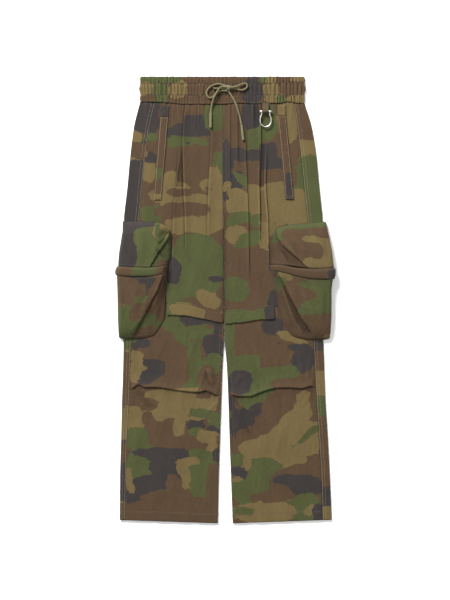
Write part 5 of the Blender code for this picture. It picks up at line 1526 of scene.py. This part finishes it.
class Stitching:
    """Rows of stitches that are joined into one mesh. A stitch is two rings of four points between two ends."""

    def __init__(self):
        self.points, self.faces = [], []

    def line(self, points, normals=None, width=STITCH_WIDTH):
        """Stitches along points that lie on the cloth's surface."""
        along, half = length_along(points), STITCH_LENGTH / 2
        if along[-1] < STITCH_PITCH:
            return
        centres = np.arange(STITCH_PITCH / 2, along[-1], STITCH_PITCH)

        def at(values, s):
            return np.stack([np.interp(s, along, values[:, k]) for k in range(3)], axis=-1)

        centre = at(points, centres)
        tangent = unit(at(points, centres + half) - at(points, centres - half))
        up = np.array([[0.0, 0.0, 1.0]]) if normals is None else at(normals, centres)
        side = unit(np.cross(tangent, up))
        up = np.cross(side, tangent)
        shape = [centre - tangent * STITCH_LENGTH / 2 - up * STITCH_SINK]
        for share in (-0.28, 0.28):
            middle = centre + tangent * STITCH_LENGTH * share + up * 0.06
            across = side * width / 2
            shape += [middle + across, middle + up * STITCH_HEIGHT, middle - across, middle - up * 0.2]
        shape.append(centre + tangent * STITCH_LENGTH / 2 - up * STITCH_SINK)
        for stitch in np.stack(shape, axis=1):
            base = len(self.points)
            self.points += list(stitch)
            for k in range(4):
                a, b = base + 1 + k, base + 1 + (k + 1) % 4
                self.faces += [(base, a, b), (a, a + 4, b + 4, b), (base + 9, b + 4, a + 4)]

    def finish(self, name, material, slot="camouflage_cloth"):
        add_mesh(name, self.points, self.faces, material, slot)


def on_front(leg, w, y, lift=CLOTH / 2):
    """Points on the face of the front."""
    return leg.place(w, y, leg.front(w, y) + lift)


def on_back(leg, w, y):
    """Points on the strip of the back that shows beside the outseam."""
    return leg.place(w, y, FRONT_MID + leg.strip(w, y) + CLOTH / 2)


def leg_stitches(leg, pale, olive):
    """Topstitching of one leg: outseam, centre seam, inner fold and hem."""
    y = np.concatenate([np.arange(451.0, -8.0, -2.0), np.arange(-16.0, -505.0, -2.0)])
    for inset, width in ((1.1, STITCH_WIDTH), (7.4, 0.45)):
        pale.line(on_back(leg, leg.outseam(y) + inset, y), width=width)
    for first, last, inset in ((449.0, 218.0, 2.2 if leg.side == "right" else 8.4), (-60.0, -500.0, 9.5)):
        y = np.arange(first, last, -2.0)
        olive.line(on_front(leg, leg.inner(y) + inset, y))
    front = np.arange(leg.inner(0.0) + 8.0, leg.outseam(-508.0) - 4.0, 2.0)
    back = np.arange(leg.outseam(-500.0) + 3.0, leg.outer(-500.0) - 4.0, 2.0)
    for w, face in ((front, on_front), (back, on_back)):
        for lift in HEM_ROWS:
            olive.line(face(leg, w, leg.hem(w) + lift))


STRIP_LIFT = LAYER + CLOTH / 2 + 0.25


def welt_stitches(leg, strip, work):
    """A row down each side of a hip pocket's welt."""
    for across, inset in ((0.0, 2.0), (1.0, -2.0)):
        w, y = strip_place(strip, across, shares(90))
        work.line(on_front(leg, w + inset, y, STRIP_LIFT))


def box_stitches(leg, strip, work, first, last, crossed=False):
    """A box of stitches between two shares down a strip, with a cross in it or with close rows."""
    corners = [(0.1, first), (0.9, first), (0.9, last), (0.1, last)]
    runs = list(zip(corners, corners[1:] + corners[:1]))
    if crossed:
        runs += [(corners[0], corners[2]), (corners[1], corners[3])]
    else:
        runs += [((0.1, mix(first, last, s)), (0.9, mix(first, last, s))) for s in (0.33, 0.67)]
    for (across_a, down_a), (across_b, down_b) in runs:
        w, y = strip_place(strip, mix(across_a, across_b, shares(24)), mix(down_a, down_b, shares(24)))
        work.line(on_front(leg, w, y, STRIP_LIFT))


def pocket_stitches(grid, work, runs, lift=CLOTH / 2):
    """Rows across a piece of a pocket: how far down it each is, and from where to where."""
    normal = normals_of(grid)
    for down, first, last in runs:
        row, column = down * (grid.shape[0] - 1), np.linspace(first, last, 120) * (grid.shape[1] - 1)
        i, j = math.floor(row), np.floor(column).astype(int)
        u, v = row - i, (column - j)[:, None]

        def at(values):
            return mix(mix(values[i, j], values[i, j + 1], v), mix(values[i + 1, j], values[i + 1, j + 1], v), u)

        up = at(normal)
        up = up * np.sign(up[:, 2:3] + 1e-9)
        work.line(at(grid) + up * lift, up)


# ------------------------------------------------------------------------------ the garment


def add_leg(leg, cloths, pale, pocket_thread, olive):
    side = leg.side
    pocket = Pocket(leg)
    flap, flap_painted_light = pocket_relief(pocket.flap(), leg, FLAP_CREASES[side])
    pouch, pouch_painted_light = pocket_relief(pocket.pouch(), leg, POUCH_CREASES[side])
    if side == "left":
        pouch_painted_light = pouch_painted_light + left_shelter(pouch, pocket)
    else:
        cloths.add("cargo_flap_right_corner", *flap_corner_grid(flap), 0.8, middle=0.0, replaces=False)
    upper, shade = front_upper_grid(leg, UPPER_ROWS)
    cloths.add(f"front_{side}_upper", upper, tone_of(upper) + shade)
    lower = front_lower_grid(leg, *LOWER_ROWS, LOWER_COLUMNS)
    cloths.add(f"front_{side}_lower", lower, tone_of(lower) + leg.lower_shade(lower))
    welt, tab = STRIPS[side]
    back_upper = upper_lines(leg, BACK_UPPER_ROWS)
    back_lower = [line for line, share in lower_lines(leg, *BACK_LOWER_ROWS) if share is None]
    for name, grid in (
        ("back_{}_upper", back_grid(leg, back_upper)), ("back_{}_lower", back_grid(leg, back_lower)),
        ("zip_flap_{}", storm_flap_grid(leg, 26, 90)), ("hip_welt_{}", strip_grid(leg, welt, 110, 17)),
        ("hip_tab_{}", strip_grid(leg, tab, 20, 17)),
    ):
        cloths.add(name.format(side), grid, tone_of(grid, 0.04))
    for name, grid, table, down, marks in (
        ("cargo_flap_", flap, FLAP_ROWS, FLAP_DOWN, flap_painted_light),
        ("cargo_pouch_", pouch, POUCH_ROWS, POUCH_DOWN, pouch_painted_light),
    ):
        cloths.add(name + side, grid, tone_of(grid, 0.03) + pocket_shade(grid, table, down, LIP_DARK[side]) + marks)
    band = pocket.band()
    cloths.add("cargo_band_" + side, band, tone_of(band, 0.03), 2.4)
    leg_stitches(leg, pale, olive)
    welt_stitches(leg, welt, pale)
    box_stitches(leg, tab, olive, 0.12, 0.93, crossed=True)
    box_stitches(leg, welt, olive, 0.006, 0.02)
    box_stitches(leg, welt, olive, 0.955, 0.99)
    w = np.linspace(leg.inner(-30.0) + FLAP_INSET + 1.5, FLAP_OUTER[side] - 1.5, 120)
    for share, lift in ((0.06, 0.0), (0.93, FLAP_LIFT)):
        y = mix(leg.knee(w) + FLAP_ABOVE, leg.flap_edge(w), share)
        olive.line(on_front(leg, w, y, LAYER + lift + CLOTH / 2 - 0.1))
    pocket_stitches(flap, pocket_thread, ((0.965, 0.02, 0.9), (0.06, 0.1, 0.75)))
    pocket_stitches(pouch, pocket_thread, ((0.03, 0.02, 0.9), (0.93, 0.1, 0.8)))
    pocket_stitches(band, pocket_thread, ((0.16, 0.02, 0.88), (0.84, 0.02, 0.88)), lift=1.2)


def add_waistband(cloths, thread):
    grid = waistband_grid(34)
    # Painted shade between the gathers, painted highlights on their ridges, and the band a little darker all over
    tone = tone_of(grid, 0.13, limit=0.62, rounds=16, light=0.34, closed=True) - 0.1
    cloths.add("waistband", grid, tone, 1.6, middle=3.2, closed=True, slot="elastic_waistband_cloth")
    x = np.linspace(-190.0, 178.0, 620)
    for y in (*CHANNELS, FOOT_ROW):
        z = BAND_HEIGHT - BAND_WALL / 2 + np.minimum(waist_relief(x, y), GATHER_RISE) + 0.8
        thread.line(np.stack([x, with_seam_line(x, 0.0 * x + y), z], axis=-1))


def ring_loop_grid():
    """The cloth loop that carries the shackle: down from the waist seam, round the pin and back."""
    radius = PIN_RADIUS + LOOP_CLEARANCE + LOOP_THICK / 2
    angles = [math.pi / 2 + math.pi * i / LOOP_ROUND_STEPS for i in range(LOOP_ROUND_STEPS + 1)]
    turn = [(PIN_Y + radius * math.cos(angle), PIN_Z + radius * math.sin(angle)) for angle in angles]
    line = smooth_line([(0.0, y, z) for y, z in LOOP_OVER + turn + LOOP_UNDER], 0.8)
    across = np.linspace(-1.0, 1.0, 13)
    grid = np.zeros((len(line), len(across), 3)) + line[:, None]
    grid[..., 0] = SHACKLE_X + across * LOOP_HALF_WIDTH
    normal = normals_of(grid)
    return grid + normal * (0.12 * np.cos(across * 3.0 * math.pi))[None, :, None] * np.sign(normal[2, 6, 2])


# From the inner end of an eye to its rim, and from the pin to the top of its knob: along the pin, and radius
EYE_PROFILE = [
    (0.0, EYE_HOLE), (0.25, EYE_HOLE), (1.35, EYE_HOLE), (1.6, EYE_HOLE + 0.25), (1.6, EYE_RADIUS - 0.5),
    (1.45, EYE_RADIUS - 0.12), (1.1, EYE_RADIUS),
]
KNOB_PROFILE = [
    (0.0, PIN_RADIUS), (0.0, 2.4), (0.25, 2.85), (0.9, 3.0), (1.6, 2.85), (2.1, 2.3), (2.4, 1.2), (2.4, 0.0),
]
TURN_STEPS = 36


def mirrored(profile):
    return [(-x, r) for x, r in reversed(profile)]


def turned(profile, joined=False):
    """A profile turned round the pin's line."""
    angle = np.linspace(0.0, 2 * math.pi, TURN_STEPS, endpoint=False)
    points = [(SHACKLE_X + x, PIN_Y + r * math.cos(a), PIN_Z + r * math.sin(a)) for x, r in profile for a in angle]
    return np.array(points), grid_faces(len(profile), TURN_STEPS, closed=True, joined=joined).tolist()


def add_shackle(metal):
    """Bow of bent wire with a drilled eye at each end, and the pin through them with its two knobs."""
    half, length = [(x, below) for x, below in BOW_HALF[1:]], BOW_HALF[-1].below
    line = [(-EYE_X, 2.4)] + [(-x, d) for x, d in half] + half[-2::-1] + [(EYE_X, 2.4)]
    route = smooth_line([(SHACKLE_X + x, PIN_Y - d, mix(PIN_Z, BOW_FOOT_Z, d / length)) for x, d in line], 1.2)
    step = np.arange(len(route))
    wire = tube(route, WIRE_RADIUS * (0.92 - 0.04 * ease(np.minimum(step, step[::-1]) / 8.0)), 20)[:2]
    profile = EYE_PROFILE + mirrored(EYE_PROFILE)
    eyes = [turned([(x + sign * EYE_X, r) for x, r in profile], joined=True) for sign in (-1, 1)]
    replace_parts(add_joined("shackle_bow_wire", [wire, *eyes], metal, "nickel", "shackle"), "shackle_bow")
    knob = [(EYE_X + EYE_HALF_WIDTH + GAP + x, r) for x, r in KNOB_PROFILE]
    pin = [turned(mirrored(knob) + knob)]
    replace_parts(add_joined("shackle_pin_turned", pin, metal, "nickel", "shackle"), "shackle_pin")


# ------------------------------------------------------------------------------ sheets as cut

# Each sheet of cloth as cut: its width, its length, its area where it is not their product, and how it is held
CUTS = {
    "waistband": (0.061, 0.960, None, "gathered"),
    "ring_loop": (0.0145, 0.050, None, "folded"),
    "front_right_upper": (0.228, 0.484, 0.098, "laid"),
    "front_left_upper": (0.226, 0.482, 0.099, "laid"),
    "front_right_lower": (0.226, 0.510, 0.109, "laid"),
    "front_left_lower": (0.213, 0.502, 0.104, "laid"),
    "back_right_upper": (0.268, 0.483, 0.120, "laid"),
    "back_left_upper": (0.264, 0.482, 0.120, "laid"),
    "back_right_lower": (0.258, 0.504, 0.123, "laid"),
    "back_left_lower": (0.256, 0.496, 0.123, "laid"),
    "zip_flap_right": (0.131, 0.032, 0.0040, "laid"),
    "zip_flap_left": (0.115, 0.033, 0.0037, "laid"),
    "hip_welt_right": (0.019, 0.192, None, "laid"),
    "hip_welt_left": (0.0195, 0.194, None, "laid"),
    "hip_tab_right": (0.0195, 0.025, None, "laid"),
    "hip_tab_left": (0.0198, 0.025, None, "laid"),
    "cargo_flap_right": (0.155, 0.116, 0.0153, "folded"),
    "cargo_flap_left": (0.194, 0.128, 0.0180, "folded"),
    "cargo_flap_right_corner": (0.040, 0.042, 0.0011, "folded"),
    "cargo_band_right": (0.159, 0.0225, 0.0032, "folded"),
    "cargo_band_left": (0.200, 0.027, 0.0042, "folded"),
    "cargo_pouch_right": (0.160, 0.166, 0.0206, "folded"),
    "cargo_pouch_left": (0.193, 0.180, 0.0234, "folded"),
}


def declare_sheets(sheets):
    for name, (width, length, area, held) in CUTS.items():
        side = next((side for side in SIDES if side in name), None)
        rests = ["front_left_upper"] if name == "ring_loop" else []
        if side and not name.startswith("back"):
            rests = [f"back_{side}_{'lower' if name.endswith('lower') else 'upper'}"]
            if not name.startswith("front"):
                rests.append(f"front_{side}_upper")


# ------------------------------------------------------------------------------ studio

CAMERA_HEIGHT = 3.838
FLOOR_HALF, FLOOR_Z = 6.0, -0.0004
WORLD_LIGHT = 0.42
# Each lamp's name, place, size and power. All aim at the origin.
LIGHTS = [("key", (-2.6, 4.6, 3.6), 1.8, 960.0), ("fill", (1.4, -0.6, 3.6), 2.6, 60.0)]


def link(name, data):
    item = bpy.data.objects.new(name, data)
    bpy.context.scene.collection.objects.link(item)
    return item


def add_camera():
    camera = link("camera", bpy.data.cameras.new("camera"))
    camera.data.lens = 100.0
    camera.data.sensor_width = 36.0
    camera.location = (0.0, 0.0, CAMERA_HEIGHT)
    bpy.context.scene.camera = camera


def add_studio():
    mesh = bpy.data.meshes.new("floor")
    corners = [(x * FLOOR_HALF, y * FLOOR_HALF, FLOOR_Z) for x, y in ((-1, -1), (1, -1), (1, 1), (-1, 1))]
    mesh.from_pydata(corners, [], [(0, 1, 2, 3)])
    mesh.materials.append(floor_material())
    link("floor", mesh)
    for name, place, size, power in LIGHTS:
        light = bpy.data.lights.new(name, "AREA")
        light.shape, light.size, light.size_y, light.energy = "RECTANGLE", size, size, power
        lamp = link(name, light)
        lamp.location = place
        lamp.rotation_euler = (-Vector(place)).to_track_quat("-Z", "Y").to_euler()
    world = bpy.data.worlds.new("studio")
    world.use_nodes = True
    background = world.node_tree.nodes["Background"].inputs
    background["Color"].default_value = (1.0, 1.0, 1.0, 1.0)
    background["Strength"].default_value = WORLD_LIGHT
    bpy.context.scene.world = world
    bpy.context.scene.view_settings.view_transform = "Standard"


def main():
    add_camera()
    legs = {side: Leg(side) for side in SIDES}
    cord = cord_material("olive_cord", (0.048, 0.042, 0.015), (0.135, 0.123, 0.052), 2.6)
    tip = cord_material("olive_cord_tip", (0.075, 0.068, 0.028), (0.160, 0.150, 0.075), 5.2)
    add_drawstring(legs, cord, tip)
    cloths = Cloths(camouflage_cloth())
    brown = cloth_material(Nodes("brown_loop_cloth"), (0.060, 0.043, 0.024))
    pale = thread_material("pale_thread", (0.33, 0.285, 0.195))
    olive = thread_material("olive_thread", (0.085, 0.075, 0.042))
    leg_work, pocket_work, waist_work, hem_work = Stitching(), Stitching(), Stitching(), Stitching()
    add_waistband(cloths, waist_work)
    for leg in legs.values():
        add_leg(leg, cloths, leg_work, pocket_work, hem_work)
    loop = ring_loop_grid()
    cloths.add("ring_loop", loop, 0.0 * loop[..., 2], 1.0, PIN_Z, slot="brown_loop_cloth", material=brown)
    add_shackle(metal_material())
    leg_work.finish("stitching_legs", pale)
    hem_work.finish("stitching_hems", olive)
    pocket_work.finish("stitching_pockets", olive)
    waist_work.finish("stitching_waist", olive, "elastic_waistband_cloth")
    declare_sheets(cloths.sheets)
    add_studio()


main()
